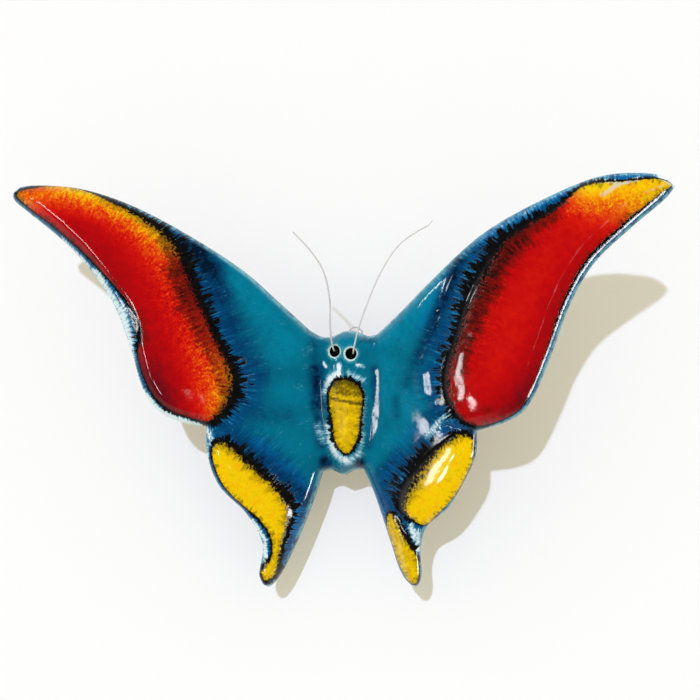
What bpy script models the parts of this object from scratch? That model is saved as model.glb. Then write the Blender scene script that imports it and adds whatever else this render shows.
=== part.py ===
"""Butterfly brooch: glazed ceramic butterfly, wire antennae, bar pin with a rotating catch.

Metres. The brooch lies on its back: +Z points out of its face, +Y towards the head and
+X to the right as the face is seen. The origin is on the back plate's rear face.
"""
import math

import bmesh
import bpy
import numpy as np
from mathutils import Matrix, Vector
from mathutils.geometry import delaunay_2d_cdt

MM = 0.001

# ---- ceramic butterfly, millimetres
SPAN_LEFT = 52.6
SPAN_RIGHT = 50.4
KEEL_Z = 2.3            # middle of the clay slab at the body
WING_RISE = 13.5        # how far the wings climb towards their tips
WING_REACH = 24.0       # over which distance they climb
SLAB_HALF = 1.1         # half of the slab's thickness
RIM_ROUND = 1.25        # depth over which the rim is rounded
BODY_HEIGHT = 2.9       # body above the slab
HEAD_HEIGHT = 2.4
EYE_RADIUS = 0.92
EYES = ((-1.6, 5.6), (1.15, 5.2))
EDGE_STEP = 2.1
FILL_STEP = 3.0

# ---- wire antennae
WIRE_RADIUS = 0.14
WIRE_SIDES = 6

# ---- bar pin finding
BAR_Y = 0.0             # height of the bar on the butterfly's back
BAR_LENGTH = 36.0
BAR_WIDTH = 5.0
BAR_THICK = 0.8
GLUE_HOLE_RADIUS = 0.9
GLUE_HOLE_X = 5.2
PIVOT_X = -15.4
CATCH_X = 15.2
STEM_Z = -4.65          # axis of the pin behind the plate's rear face
STEM_RADIUS = 0.45
STEM_TIP_X = 17.6
EAR_THICK = 0.5
EAR_RADIUS = 1.15
EAR_INNER_GAP = 1.1
RIVET_RADIUS = 0.35
RIVET_HEAD_RADIUS = 0.75
HOUSING_INNER = 1.0
HOUSING_OUTER = 1.38
HOUSING_LENGTH = 2.2
ROTOR_OUTER = 0.94
ROTOR_BORE = 0.6
COLLAR_OUTER = 1.35
COLLAR_LENGTH = 0.9
TAB_REACH = 2.5
SKIN_GAP = 0.05

# ---- wing outline, each stretch from corner to corner
RIGHT_LEAD = ((5.1, 8.4), (9.1, 11.9), (14.1, 16.6), (22.1, 23.4), (31.1, 28.2), (39.8, 31.4),
              (44.8, 31.7), (48.6, 31.1), (50.4, 29.5))
RIGHT_TRAIL = ((50.4, 29.5), (49.4, 28.1), (44.3, 23.7), (39.0, 18.6), (35.6, 12.7), (32.7, 4.8),
               (30.1, -1.4), (28.4, -3.7), (25.4, -5.4), (21.6, -6.6))
RIGHT_HIND = ((21.6, -6.6), (21.4, -10.3), (19.4, -14.8), (17.0, -18.8), (13.4, -22.2),
              (12.5, -25.7), (12.6, -30.2), (11.6, -31.8), (9.5, -30.2), (7.3, -24.8),
              (4.7, -17.8), (2.8, -13.7))
ABDOMEN = ((2.8, -13.7), (1.6, -13.7), (-0.6, -14.7), (-2.7, -13.8), (-4.0, -14.2))
LEFT_HIND = ((-4.0, -14.2), (-4.8, -17.1), (-7.8, -25.2), (-10.7, -31.1), (-12.3, -32.6),
             (-13.6, -31.0), (-13.1, -25.7), (-15.4, -20.8), (-19.8, -15.8), (-21.6, -10.1),
             (-21.6, -6.5))
LEFT_TRAIL = ((-21.6, -6.5), (-24.9, -5.9), (-29.0, -3.9), (-31.5, -0.1), (-33.1, 5.5),
              (-36.3, 13.8), (-42.2, 21.5), (-49.9, 28.0), (-52.2, 29.9), (-52.6, 31.1))
LEFT_LEAD = ((-52.6, 31.1), (-51.0, 32.0), (-47.0, 32.2), (-41.3, 31.6), (-34.8, 29.6),
             (-26.9, 25.7), (-16.2, 18.7), (-10.2, 13.1), (-6.0, 9.0))
HEAD = ((-6.0, 9.0), (-4.2, 8.0), (-2.6, 8.0), (-0.6, 8.9), (1.4, 8.9), (3.6, 8.1), (5.1, 8.4))
STRETCHES = (RIGHT_LEAD, RIGHT_TRAIL, RIGHT_HIND, ABDOMEN, LEFT_HIND, LEFT_TRAIL, LEFT_LEAD, HEAD)

# half width of the body at points along its length, and its height over the slab
BODY_Y = (-15.0, -12.4, -8.9, -2.4, 1.0, 3.6, 5.8, 8.8)
BODY_HALF = (1.6, 2.7, 3.5, 4.3, 4.5, 4.0, 3.9, 3.6)
BODY_RISE = (0.4, 1.6, 2.5, BODY_HEIGHT, BODY_HEIGHT, 2.5, HEAD_HEIGHT, 1.3)

ANTENNA_LEFT = ((-1.65, 5.6, 1.1), (-1.65, 5.7, 3.0), (-1.7, 5.9, 5.6), (-1.8, 7.7, 7.2),
                (-1.7, 10.6, 8.6), (-1.5, 13.7, 9.8), (-2.2, 18.3, 11.8), (-4.2, 21.6, 13.4),
                (-6.4, 24.0, 14.4))
ANTENNA_RIGHT = ((1.2, 5.2, 1.1), (1.3, 5.2, 3.0), (1.5, 5.4, 5.6), (2.4, 8.2, 7.4),
                 (4.0, 12.1, 9.2), (7.0, 18.2, 11.2), (10.0, 22.0, 12.8), (13.2, 24.0, 13.9),
                 (14.9, 24.8, 14.4), (15.2, 25.3, 14.5))
WIRE_LOOP = ((-1.3, 6.4, 0.6), (-0.8, 7.6, 0.65), (-0.1, 8.9, 0.85), (1.0, 9.7, 1.0),
             (2.2, 8.9, 0.85), (2.2, 7.6, 0.65), (1.8, 6.2, 0.6))


def spline(points, step):
    """Evenly spaced points along a smooth curve through the given points."""
    pts = [Vector(p) for p in points]
    ends = [pts[0] * 2 - pts[1]] + pts + [pts[-1] * 2 - pts[-2]]
    fine = []
    for k in range(1, len(ends) - 2):
        p0, p1, p2, p3 = ends[k - 1:k + 3]
        t1 = math.sqrt((p1 - p0).length)
        t2 = t1 + math.sqrt((p2 - p1).length)
        t3 = t2 + math.sqrt((p3 - p2).length)
        for i in range(24):
            t = t1 + (t2 - t1) * i / 24
            a1 = p0 * ((t1 - t) / t1) + p1 * (t / t1)
            a2 = p1 * ((t2 - t) / (t2 - t1)) + p2 * ((t - t1) / (t2 - t1))
            a3 = p2 * ((t3 - t) / (t3 - t2)) + p3 * ((t - t2) / (t3 - t2))
            b1 = a1 * ((t2 - t) / t2) + a2 * (t / t2)
            b2 = a2 * ((t3 - t) / (t3 - t1)) + a3 * ((t - t1) / (t3 - t1))
            fine.append(b1 * ((t2 - t) / (t2 - t1)) + b2 * ((t - t1) / (t2 - t1)))
    fine.append(pts[-1])
    run = [0.0]
    for a, b in zip(fine, fine[1:]):
        run.append(run[-1] + (b - a).length)
    count = max(2, round(run[-1] / step))
    marks = np.linspace(0.0, run[-1], count + 1)
    cols = [np.interp(marks, run, [p[c] for p in fine]) for c in range(len(pts[0]))]
    return np.array(cols).T


def outline(step):
    """The butterfly's closed outline, anticlockwise or clockwise as drawn, without repeats."""
    parts = [spline(stretch, step)[:-1] for stretch in STRETCHES]
    return np.concatenate(parts)


EDGE = outline(0.6)


def rim_distance(xy):
    """Distance from points to the outline."""
    a = EDGE
    b = np.roll(EDGE, -1, axis=0)
    ab = b - a
    best = np.full(len(xy), 1e9)
    for p, d in zip(a, ab):
        t = np.clip(((xy - p) @ d) / (d @ d), 0.0, 1.0)
        gap = np.hypot(xy[:, 0] - p[0] - t * d[0], xy[:, 1] - p[1] - t * d[1])
        best = np.minimum(best, gap)
    return best


def inside(xy):
    """Which points lie inside the outline."""
    hit = np.zeros(len(xy), dtype=bool)
    for p, q in zip(EDGE, np.roll(EDGE, -1, axis=0)):
        if p[1] == q[1]:
            continue
        cross = (p[1] > xy[:, 1]) != (q[1] > xy[:, 1])
        at = p[0] + (xy[:, 1] - p[1]) * (q[0] - p[0]) / (q[1] - p[1])
        hit ^= cross & (xy[:, 0] < at)
    return hit


def climb(reach):
    return KEEL_Z + WING_RISE * (1.0 - np.exp(-(reach / WING_REACH) ** 1.3))


def slab_middle(xy):
    """Middle of the slab: a flat keel at the body, wings climbing to both sides."""
    reach = np.abs(xy[:, 0])
    return climb(reach ** 3 / (reach ** 2 + 16.0))


def rounded(depth, width):
    return np.sqrt(1.0 - (1.0 - np.clip(depth / width, 0.0, 1.0)) ** 2)


def top_height(xy, depth):
    """Height of the face."""
    reach = np.abs(xy[:, 0])
    middle = slab_middle(xy)
    half = np.interp(xy[:, 1], BODY_Y, BODY_HALF)
    rise = np.interp(xy[:, 1], BODY_Y, BODY_RISE)
    off = np.clip(np.abs(xy[:, 0] - 0.3) / half, 0.0, 1.0)
    body = rise * (1.0 - off ** 2) ** 1.2
    full = rounded(depth, 2.4)
    swell = 0.45 * (1.0 - np.exp(-depth / 5.0))
    slab = SLAB_HALF * rounded(depth, RIM_ROUND)
    return middle + slab + (climb(reach) - middle + body) * full + swell


def back_height(xy, depth):
    """Height of the unglazed back."""
    return slab_middle(xy) - SLAB_HALF * rounded(depth, 1.0)


def triangulate(points, loops, seams=()):
    """Triangles of a plane region bounded by the first loop, with the other loops as holes."""
    edges = list(seams)
    for start, count in loops:
        edges += [(start + i, start + (i + 1) % count) for i in range(count)]
    start, count = loops[0]
    face = list(range(start, start + count))
    flat = [Vector((float(p[0]), float(p[1]))) for p in points]
    got = delaunay_2d_cdt(flat, edges, [face], 1, 1e-7)
    verts, tris, origin = got[0], got[2], got[3]
    if len(verts) != len(flat):
        raise RuntimeError("the outline crosses itself")
    back = [o[0] for o in origin]
    out = []
    for tri in tris:
        ids = [back[i] for i in tri]
        centre = sum((flat[i] for i in ids), Vector((0.0, 0.0))) / 3
        hole = False
        for start, count in loops[1:]:
            ring = flat[start:start + count]
            middle = sum(ring, Vector((0.0, 0.0))) / count
            hole = hole or (centre - middle).length < (ring[0] - middle).length
        if hole:
            continue
        a, b, c = (flat[i] for i in ids)
        if (b - a).cross(c - a) < 0:
            ids.reverse()
        out.append(ids)
    return out


def add_mesh(name, verts, faces, mat, parent=None, origin=(0.0, 0.0, 0.0), smooth=35.0):
    """A named mesh object; verts in millimetres in the brooch's frame."""
    mesh = bpy.data.meshes.new(name)
    base = Vector(origin)
    mesh.from_pydata([(Vector(v) - base) * MM for v in verts], [], faces)
    bm = bmesh.new()
    bm.from_mesh(mesh)
    bmesh.ops.recalc_face_normals(bm, faces=bm.faces)
    bm.to_mesh(mesh)
    bm.free()
    obj = bpy.data.objects.new(name, mesh)
    obj.location = base * MM
    bpy.context.scene.collection.objects.link(obj)
    if mat is not None:
        mesh.materials.append(mat)
    if smooth:
        mesh.shade_smooth()
        mesh.set_sharp_from_angle(angle=math.radians(smooth))
    if parent is not None:
        obj.parent = parent
        obj.matrix_parent_inverse = Matrix.Translation(-parent.location)
    return obj


def material(name, colour, metallic, roughness, coat=0.0):
    mat = bpy.data.materials.new(name)
    mat.use_nodes = True
    shader = mat.node_tree.nodes["Principled BSDF"]
    shader.inputs["Base Color"].default_value = (*colour, 1.0)
    shader.inputs["Metallic"].default_value = metallic
    shader.inputs["Roughness"].default_value = roughness
    shader.inputs["Coat Weight"].default_value = coat
    mat.diffuse_color = (*colour, 1.0)
    return mat


def ring(centre, radius, count):
    turn = [2 * math.pi * i / count for i in range(count)]
    return [(centre[0] + radius * math.cos(t), centre[1] + radius * math.sin(t)) for t in turn]


def ceramic(mat):
    """The butterfly: a domed face and a hollow back that meet at the rim, with two eye holes."""
    rim = outline(EDGE_STEP)
    count = len(rim)
    ahead = np.roll(rim, -1, axis=0) - np.roll(rim, 1, axis=0)
    ahead /= np.linalg.norm(ahead, axis=1)[:, None]
    normal = np.stack([ahead[:, 1], -ahead[:, 0]], axis=1)
    if not inside(rim[:1] + normal[:1] * 0.5)[0]:
        normal = -normal
    inner = [rim]
    for offset in (0.3, 0.9, 1.8):
        shifted = rim + normal * offset
        keep = inside(shifted) & (rim_distance(shifted) > offset * 0.93)
        inner.append(shifted[keep])
    low = rim.min(axis=0)
    high = rim.max(axis=0)
    rows = []
    for j in range(int((high[1] - low[1]) / (FILL_STEP * 0.866)) + 2):
        for i in range(int((high[0] - low[0]) / FILL_STEP) + 2):
            rows.append((low[0] + FILL_STEP * (i + 0.5 * (j % 2)), low[1] + FILL_STEP * 0.866 * j))
    fill = np.array(rows)
    close = np.abs(fill[:, 0]) < 6.5
    extra = np.stack([fill[close, 0] + FILL_STEP * 0.5, fill[close, 1]], axis=1)
    fill = np.concatenate([fill, extra])
    fill = fill[inside(fill)]
    fill = fill[rim_distance(fill) > 2.9]
    for eye in EYES:
        fill = fill[np.hypot(fill[:, 0] - eye[0], fill[:, 1] - eye[1]) > EYE_RADIUS + 0.9]
    inner.append(fill)
    points = np.concatenate(inner)
    loops = [(0, count)]
    for eye in EYES:
        loops.append((len(points), 16))
        points = np.concatenate([points, ring(eye, EYE_RADIUS, 16), ring(eye, EYE_RADIUS + 0.3, 16)])
    tris = triangulate(points, loops)
    depth = rim_distance(points)
    depth[:count] = 0.0
    top = top_height(points, depth)
    back = back_height(points, depth)
    lip = np.zeros(len(points), dtype=bool)
    for start, size in loops[1:]:
        lip[start:start + size] = True
    top[lip] -= 0.28
    total = len(points)
    verts = [(p[0], p[1], z) for p, z in zip(points, top)]
    under = list(range(total))
    for i in range(count, total):
        under[i] = len(verts)
        verts.append((points[i][0], points[i][1], back[i]))
    faces = [tuple(t) for t in tris]
    faces += [tuple(under[i] for i in reversed(t)) for t in tris]
    for start, size in loops[1:]:
        for i in range(size):
            a = start + i
            b = start + (i + 1) % size
            faces.append((a, b, under[b], under[a]))
    return add_mesh("ceramic_butterfly", verts, faces, mat, smooth=60.0)


def tube(name, path, radius, sides, mat, parent=None):
    """A round wire along a path, with closed ends."""
    pts = [Vector([float(c) for c in p]) for p in path]
    side = Vector((1.0, 0.0, 0.0))
    verts = []
    for i, p in enumerate(pts):
        ahead = (pts[min(i + 1, len(pts) - 1)] - pts[max(i - 1, 0)]).normalized()
        side = (side - ahead * side.dot(ahead)).normalized()
        other = ahead.cross(side)
        for k in range(sides):
            turn = 2 * math.pi * k / sides
            verts.append(p + (side * math.cos(turn) + other * math.sin(turn)) * radius)
    faces = []
    for i in range(len(pts) - 1):
        for k in range(sides):
            a = i * sides + k
            b = i * sides + (k + 1) % sides
            faces.append((a, b, b + sides, a + sides))
    faces.append(tuple(reversed(range(sides))))
    faces.append(tuple(range(len(verts) - sides, len(verts))))
    return add_mesh(name, verts, faces, mat, parent, smooth=50.0)


def prism(name, profile, axis, low, high, mat, parent=None, origin=(0.0, 0.0, 0.0), smooth=35.0):
    """A closed plane profile drawn out along an axis; profile runs over the two other axes."""
    count = len(profile)
    verts = []
    for level in (low, high):
        for a, b in profile:
            spot = [a, b]
            spot.insert("XYZ".index(axis), level)
            verts.append(tuple(spot))
    tris = triangulate(np.array(profile), [(0, count)])
    faces = [tuple(t) for t in tris]
    faces += [tuple(i + count for i in reversed(t)) for t in tris]
    for i in range(count):
        j = (i + 1) % count
        faces.append((i, j, j + count, i + count))
    return add_mesh(name, verts, faces, mat, parent, origin, smooth)


def arc(centre, radius, start, end, count):
    """Points on an arc; angles in degrees from the first plane axis towards the second."""
    turn = [math.radians(start + (end - start) * i / count) for i in range(count + 1)]
    return [(centre[0] + radius * math.cos(t), centre[1] + radius * math.sin(t)) for t in turn]


def cut(obj, cutter, how):
    mod = obj.modifiers.new(how.lower(), "BOOLEAN")
    mod.operation = how
    mod.solver = "EXACT"
    mod.object = cutter
    cutter.hide_render = True
    cutter.display_type = "WIRE"
    return obj


def plate(mat):
    """The bar: rounded ends, two glue holes, crossed by seams that part off its working areas."""
    half = BAR_WIDTH / 2
    straight = BAR_LENGTH / 2 - half
    seam_x = (12.5, 9.0, -9.0, -12.5)
    loop = arc((straight, BAR_Y), half, -90, 90, 12)
    first = len(loop)
    loop += [(x, BAR_Y + half) for x in seam_x]
    loop += arc((-straight, BAR_Y), half, 90, 270, 12)
    last = len(loop) + 3
    loop += [(x, BAR_Y - half) for x in reversed(seam_x)]
    seams = [(first + i, last - i) for i in range(4)]
    points = np.array(loop)
    loops = [(0, len(points))]
    for sign in (-1, 1):
        loops.append((len(points), 16))
        points = np.concatenate([points, ring((sign * GLUE_HOLE_X, BAR_Y), GLUE_HOLE_RADIUS, 16)])
    tris = triangulate(points, loops, seams)
    total = len(points)
    verts = [(p[0], p[1], 0.0) for p in points] + [(p[0], p[1], BAR_THICK) for p in points]
    faces = [tuple(reversed(t)) for t in tris]
    faces += [tuple(i + total for i in t) for t in tris]
    for start, size in loops:
        for i in range(size):
            a = start + i
            b = start + (i + 1) % size
            faces.append((a, b, b + total, a + total))
    return add_mesh("back_plate", verts, faces, mat, smooth=30.0)


def pad(mat):
    """Epoxy pad that fills the wedge between the plate and the ceramic back."""
    across = 24
    along = 8
    half_x = 7.6
    half_y = 3.6
    top = []
    low = []
    for j in range(along + 1):
        for i in range(across + 1):
            u = -1 + 2 * i / across
            v = -1 + 2 * j / along
            shrink = 1.0 - 0.16 * v * v
            x = half_x * u * shrink
            y = BAR_Y + half_y * v * (1.0 - 0.22 * u * u)
            top.append((x, y))
            low.append((x * 0.93, BAR_Y + (y - BAR_Y) * 0.55))
    xy = np.array(top)
    roof = back_height(xy, np.full(len(xy), 9.0)) - 0.12
    verts = [(p[0], p[1], z) for p, z in zip(top, roof)]
    verts += [(p[0], p[1], BAR_THICK + SKIN_GAP) for p in low]
    total = len(top)
    wide = across + 1
    faces = []
    for j in range(along):
        for i in range(across):
            a = j * wide + i
            faces.append((a, a + 1, a + 1 + wide, a + wide))
            faces.append((a + total, a + wide + total, a + 1 + wide + total, a + 1 + total))
    border = [i for i in range(wide)]
    border += [j * wide + across for j in range(1, along + 1)]
    border += [along * wide + i for i in range(across - 1, -1, -1)]
    border += [j * wide for j in range(along - 1, 0, -1)]
    for k, a in enumerate(border):
        b = border[(k + 1) % len(border)]
        faces.append((a, b, b + total, a + total))
    return add_mesh("glue_pad", verts, faces, mat, smooth=40.0)


def lathe(name, profile, centre, axis, sides, mat, parent=None, origin=(0.0, 0.0, 0.0)):
    """A turned solid; profile holds (distance along the axis, radius), radius 0 at both ends."""
    verts = []
    rings = []
    for run, radius in profile:
        if radius <= 0:
            rings.append([len(verts)])
            spot = list(centre)
            spot["XYZ".index(axis)] += run
            verts.append(tuple(spot))
            continue
        rings.append(list(range(len(verts), len(verts) + sides)))
        for k in range(sides):
            turn = 2 * math.pi * (k + 0.5) / sides
            pair = [radius * math.cos(turn), radius * math.sin(turn)]
            pair.insert("XYZ".index(axis), run)
            verts.append(tuple(c + d for c, d in zip(centre, pair)))
    faces = []
    for a, b in zip(rings, rings[1:]):
        if len(a) == 1 and len(b) == 1:
            continue
        for k in range(sides):
            n = (k + 1) % sides
            if len(a) == 1:
                faces.append((a[0], b[k], b[n]))
            elif len(b) == 1:
                faces.append((a[k], b[0], a[n]))
            else:
                faces.append((a[k], b[k], b[n], a[n]))
    return add_mesh(name, verts, faces, mat, parent, origin, 40.0)


def hinge_bracket(mat):
    """A folded strip: a foot on the plate and two round-ended ears beside the pin's eye."""
    inner = EAR_INNER_GAP / 2
    outer = inner + EAR_THICK
    foot = -SKIN_GAP
    tip = STEM_Z - EAR_RADIUS - 0.5
    channel = [(BAR_Y - outer, foot), (BAR_Y + outer, foot), (BAR_Y + outer, tip),
               (BAR_Y + inner, tip), (BAR_Y + inner, foot - 0.45), (BAR_Y - inner, foot - 0.45),
               (BAR_Y - inner, tip), (BAR_Y - outer, tip)]
    body = prism("hinge_joint", channel, "X", PIVOT_X - 3.0, PIVOT_X + 3.0, mat, smooth=30.0)
    side = [(PIVOT_X - 1.9, 0.4), (PIVOT_X - 1.9, -0.9)]
    side += arc((PIVOT_X, STEM_Z), EAR_RADIUS, 180, 360, 14)
    side += [(PIVOT_X + 1.9, -0.9), (PIVOT_X + 1.9, 0.4)]
    shape = prism("hinge_joint_side", side, "Y", BAR_Y - 3, BAR_Y + 3, None)
    bore = lathe("hinge_joint_bore", ((-3, 0), (-3, RIVET_RADIUS + 0.03), (3, RIVET_RADIUS + 0.03),
                                      (3, 0)), (PIVOT_X, BAR_Y, STEM_Z), "Y", 20, None)
    cut(body, shape, "INTERSECT")
    cut(body, bore, "DIFFERENCE")
    return body


def rivet(mat):
    """Domed rivet through the two ears and the pin's eye."""
    reach = EAR_INNER_GAP / 2 + EAR_THICK + SKIN_GAP
    dome = 0.35
    left = [(-reach - dome, 0.0), (-reach - dome * 0.75, RIVET_HEAD_RADIUS * 0.65),
            (-reach - dome * 0.3, RIVET_HEAD_RADIUS * 0.95), (-reach, RIVET_HEAD_RADIUS),
            (-reach, RIVET_RADIUS)]
    profile = left + [(-run, radius) for run, radius in reversed(left)]
    return lathe("joint_rivet", profile, (PIVOT_X, BAR_Y, STEM_Z), "Y", 20, mat)


def pin(mat, pivot):
    """Straight steel pin with a flattened eye, tapering to a point."""
    profile = ((0.75, 0.0), (0.75, STEM_RADIUS), (STEM_TIP_X - PIVOT_X - 5.0, STEM_RADIUS),
               (STEM_TIP_X - PIVOT_X - 2.5, STEM_RADIUS * 0.7),
               (STEM_TIP_X - PIVOT_X - 0.6, STEM_RADIUS * 0.28), (STEM_TIP_X - PIVOT_X, 0.0))
    centre = (PIVOT_X, BAR_Y, STEM_Z)
    stem = lathe("pin_stem", profile, centre, "X", 14, mat, pivot, centre)
    eye = prism("pin_stem_eye", arc((PIVOT_X, STEM_Z), 1.0, 0, 342, 19), "Y",
                BAR_Y - 0.45, BAR_Y + 0.45, None, pivot, centre)
    bore = lathe("pin_stem_bore", ((-3, 0), (-3, RIVET_RADIUS + 0.05), (3, RIVET_RADIUS + 0.05),
                                   (3, 0)), centre, "Y", 20, None, pivot, centre)
    cut(stem, eye, "UNION")
    cut(stem, bore, "DIFFERENCE")
    return stem


def catch(mat_base, mat_rotor, pivot):
    """C-shaped housing on a foot, and the slotted sleeve that turns inside it."""
    mouth = 44
    ringed = arc((BAR_Y, STEM_Z), HOUSING_OUTER, -90 + mouth, 66, 12)
    ringed += [(BAR_Y + 0.75, -0.5), (BAR_Y + 1.9, -0.5), (BAR_Y + 1.9, -SKIN_GAP)]
    ringed += [(BAR_Y - 1.9, -SKIN_GAP), (BAR_Y - 1.9, -0.5), (BAR_Y - 0.75, -0.5)]
    ringed += arc((BAR_Y, STEM_Z), HOUSING_OUTER, 114, 270 - mouth, 12)
    ringed += arc((BAR_Y, STEM_Z), HOUSING_INNER, 270 - mouth, -90 + mouth, 22)
    low = CATCH_X - HOUSING_LENGTH / 2
    high = CATCH_X + HOUSING_LENGTH / 2
    base = prism("catch_base", ringed, "X", low, high, mat_base, smooth=30.0)

    centre = (CATCH_X, BAR_Y, STEM_Z)
    slot = ROTOR_BORE

    def slotted(outer):
        edge = math.degrees(math.asin(slot / outer))
        around = arc((BAR_Y, STEM_Z), outer, -90 + edge, 270 - edge, 26)
        return around + arc((BAR_Y, STEM_Z), slot, 180, 0, 14)

    sleeve = prism("catch_rotor", slotted(ROTOR_OUTER), "X", low - 0.35, high + 0.05, mat_rotor,
                   pivot, centre, 30.0)
    collar = prism("catch_rotor_collar", slotted(COLLAR_OUTER), "X", high + SKIN_GAP,
                   high + COLLAR_LENGTH, None, pivot, centre)
    lean = math.radians(-90 - 62)
    across = Vector((-math.sin(lean), math.cos(lean)))
    out = Vector((math.cos(lean), math.sin(lean)))
    hub = Vector((BAR_Y, STEM_Z))
    blade = [hub + out * 1.15 - across * 0.32, hub + out * (TAB_REACH - 0.2) - across * 0.45,
             hub + out * TAB_REACH - across * 0.2, hub + out * TAB_REACH + across * 0.2,
             hub + out * (TAB_REACH - 0.2) + across * 0.45, hub + out * 1.15 + across * 0.32]
    tab = prism("catch_rotor_tab", [tuple(p) for p in blade], "X", high + 0.15,
                high + COLLAR_LENGTH - 0.1, None, pivot, centre)
    cut(sleeve, collar, "UNION")
    cut(sleeve, tab, "UNION")
    return base, sleeve


def wire_path():
    """Left antenna tip, down through the left eye, round behind the head, up the right eye."""
    route = list(reversed(ANTENNA_LEFT)) + list(WIRE_LOOP) + list(ANTENNA_RIGHT)
    return spline(route, 0.85)


def dab(mat):
    """Epoxy dab over the eyes' rear ends, with channels where the wire's two strands lie in it."""
    rows = 5
    around = 24
    verts = []
    centre = (0.1, 5.95)
    for j in range(rows):
        lift = math.cos(math.radians(90.0 * j / rows))
        drop = math.sin(math.radians(90.0 * j / rows))
        for k in range(around):
            turn = 2 * math.pi * k / around
            verts.append((centre[0] + 3.5 * lift * math.cos(turn),
                          centre[1] + 1.85 * lift * math.sin(turn), 1.05 - 1.1 * drop))
    verts.append((centre[0], centre[1], 1.05 - 1.1))
    faces = [tuple(range(around))]
    for j in range(rows - 1):
        for k in range(around):
            a = j * around + k
            b = j * around + (k + 1) % around
            faces.append((a, b, b + around, a + around))
    for k in range(around):
        a = (rows - 1) * around + k
        b = (rows - 1) * around + (k + 1) % around
        faces.append((a, b, len(verts) - 1))
    lump = add_mesh("antenna_glue", verts, faces, mat, smooth=40.0)
    strand = [p for p in wire_path() if p[2] < 2.4]
    return cut(lump, tube("antenna_glue_groove", strand, WIRE_RADIUS + 0.05, 8, None), "DIFFERENCE")


def build():
    for obj in list(bpy.data.objects):
        bpy.data.objects.remove(obj, do_unlink=True)
    glaze = material("glazed_ceramic", (0.0, 0.25, 0.32), 0.0, 0.12, 1.0)
    silver = material("silvered_wire", (0.72, 0.73, 0.74), 1.0, 0.28)
    epoxy = material("clear_epoxy", (0.78, 0.74, 0.62), 0.0, 0.25)
    nickel = material("nickel_plate", (0.66, 0.64, 0.6), 1.0, 0.3)
    steel = material("pin_steel", (0.6, 0.6, 0.62), 1.0, 0.22)

    ceramic(glaze)
    tube("antenna_wire", wire_path(), WIRE_RADIUS, WIRE_SIDES, silver)
    dab(epoxy)
    pad(epoxy)
    plate(nickel)
    hinge_bracket(nickel)
    rivet(steel)

    swing = bpy.data.objects.new("pin_pivot", None)
    swing.location = Vector((PIVOT_X, BAR_Y, STEM_Z)) * MM
    bpy.context.scene.collection.objects.link(swing)
    pin(steel, swing)
    turn = bpy.data.objects.new("catch_pivot", None)
    turn.location = Vector((CATCH_X, BAR_Y, STEM_Z)) * MM
    bpy.context.scene.collection.objects.link(turn)
    catch(nickel, nickel, turn)


build()
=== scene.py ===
"""The butterfly brooch's looks: glazed ceramic, drawn wire, epoxy and a plated bar pin.

The brooch's frame: metres, +Z out of its face, +Y towards the head, +X to the right.
Outlines below are in millimetres in that frame.
"""
import math

import bpy
import numpy as np
from mathutils import Matrix, Vector, noise
from mathutils.geometry import delaunay_2d_cdt


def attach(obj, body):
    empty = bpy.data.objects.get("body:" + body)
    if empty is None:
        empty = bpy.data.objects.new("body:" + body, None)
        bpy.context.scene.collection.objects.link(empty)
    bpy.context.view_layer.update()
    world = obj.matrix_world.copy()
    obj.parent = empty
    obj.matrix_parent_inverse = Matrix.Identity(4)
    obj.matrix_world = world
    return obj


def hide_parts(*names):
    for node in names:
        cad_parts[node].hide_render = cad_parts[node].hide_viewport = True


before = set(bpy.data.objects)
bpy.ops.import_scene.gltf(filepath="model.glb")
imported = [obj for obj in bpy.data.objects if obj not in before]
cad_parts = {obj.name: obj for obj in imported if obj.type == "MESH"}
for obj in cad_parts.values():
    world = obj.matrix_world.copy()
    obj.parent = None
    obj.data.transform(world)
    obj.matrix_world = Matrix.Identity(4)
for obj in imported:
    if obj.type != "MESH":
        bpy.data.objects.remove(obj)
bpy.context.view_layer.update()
MM = 0.001

# ---------------------------------------------------------------- the butterfly's shape
KEEL_Z = 2.3               # middle of the clay slab at the body
WING_RISE = 13.5           # how far the wings climb towards their tips
WING_REACH = 24.0          # over which distance they climb
SLAB_HALF = 1.1            # half of the slab's thickness
RIM_ROUND = 1.25           # depth over which the rim is rounded
EYE_RADIUS = 0.92
EYES = ((-1.6, 5.6), (1.15, 5.2))
EDGE_STEP = 0.6            # spacing of the outline that depths are measured from
RIM_STEP = 0.45            # spacing of the mesh's own rim
HOLE_SIDES = 40
WALL_ROWS = 6

RIGHT_LEAD = ((5.1, 8.4), (9.1, 11.9), (14.1, 16.6), (22.1, 23.4), (31.1, 28.2), (39.8, 31.4),
              (44.8, 31.7), (48.6, 31.1), (50.4, 29.5))
RIGHT_TRAIL = ((50.4, 29.5), (49.4, 28.1), (44.3, 23.7), (39.0, 18.6), (35.6, 12.7), (32.7, 4.8),
               (30.1, -1.4), (28.4, -3.7), (25.4, -5.4), (21.6, -6.6))
RIGHT_HIND = ((21.6, -6.6), (21.4, -10.3), (19.4, -14.8), (17.0, -18.8), (13.4, -22.2),
              (12.5, -25.7), (12.6, -30.2), (11.6, -31.8), (9.5, -30.2), (7.3, -24.8),
              (4.7, -17.8), (2.8, -13.7))
ABDOMEN = ((2.8, -13.7), (1.6, -13.7), (-0.6, -14.7), (-2.7, -13.8), (-4.0, -14.2))
LEFT_HIND = ((-4.0, -14.2), (-4.8, -17.1), (-7.8, -25.2), (-10.7, -31.1), (-12.3, -32.6),
             (-13.6, -31.0), (-13.1, -25.7), (-15.4, -20.8), (-19.8, -15.8), (-21.6, -10.1),
             (-21.6, -6.5))
LEFT_TRAIL = ((-21.6, -6.5), (-24.9, -5.9), (-29.0, -3.9), (-31.5, -0.1), (-33.1, 5.5),
              (-36.3, 13.8), (-42.2, 21.5), (-49.9, 28.0), (-52.2, 29.9), (-52.6, 31.1))
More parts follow.
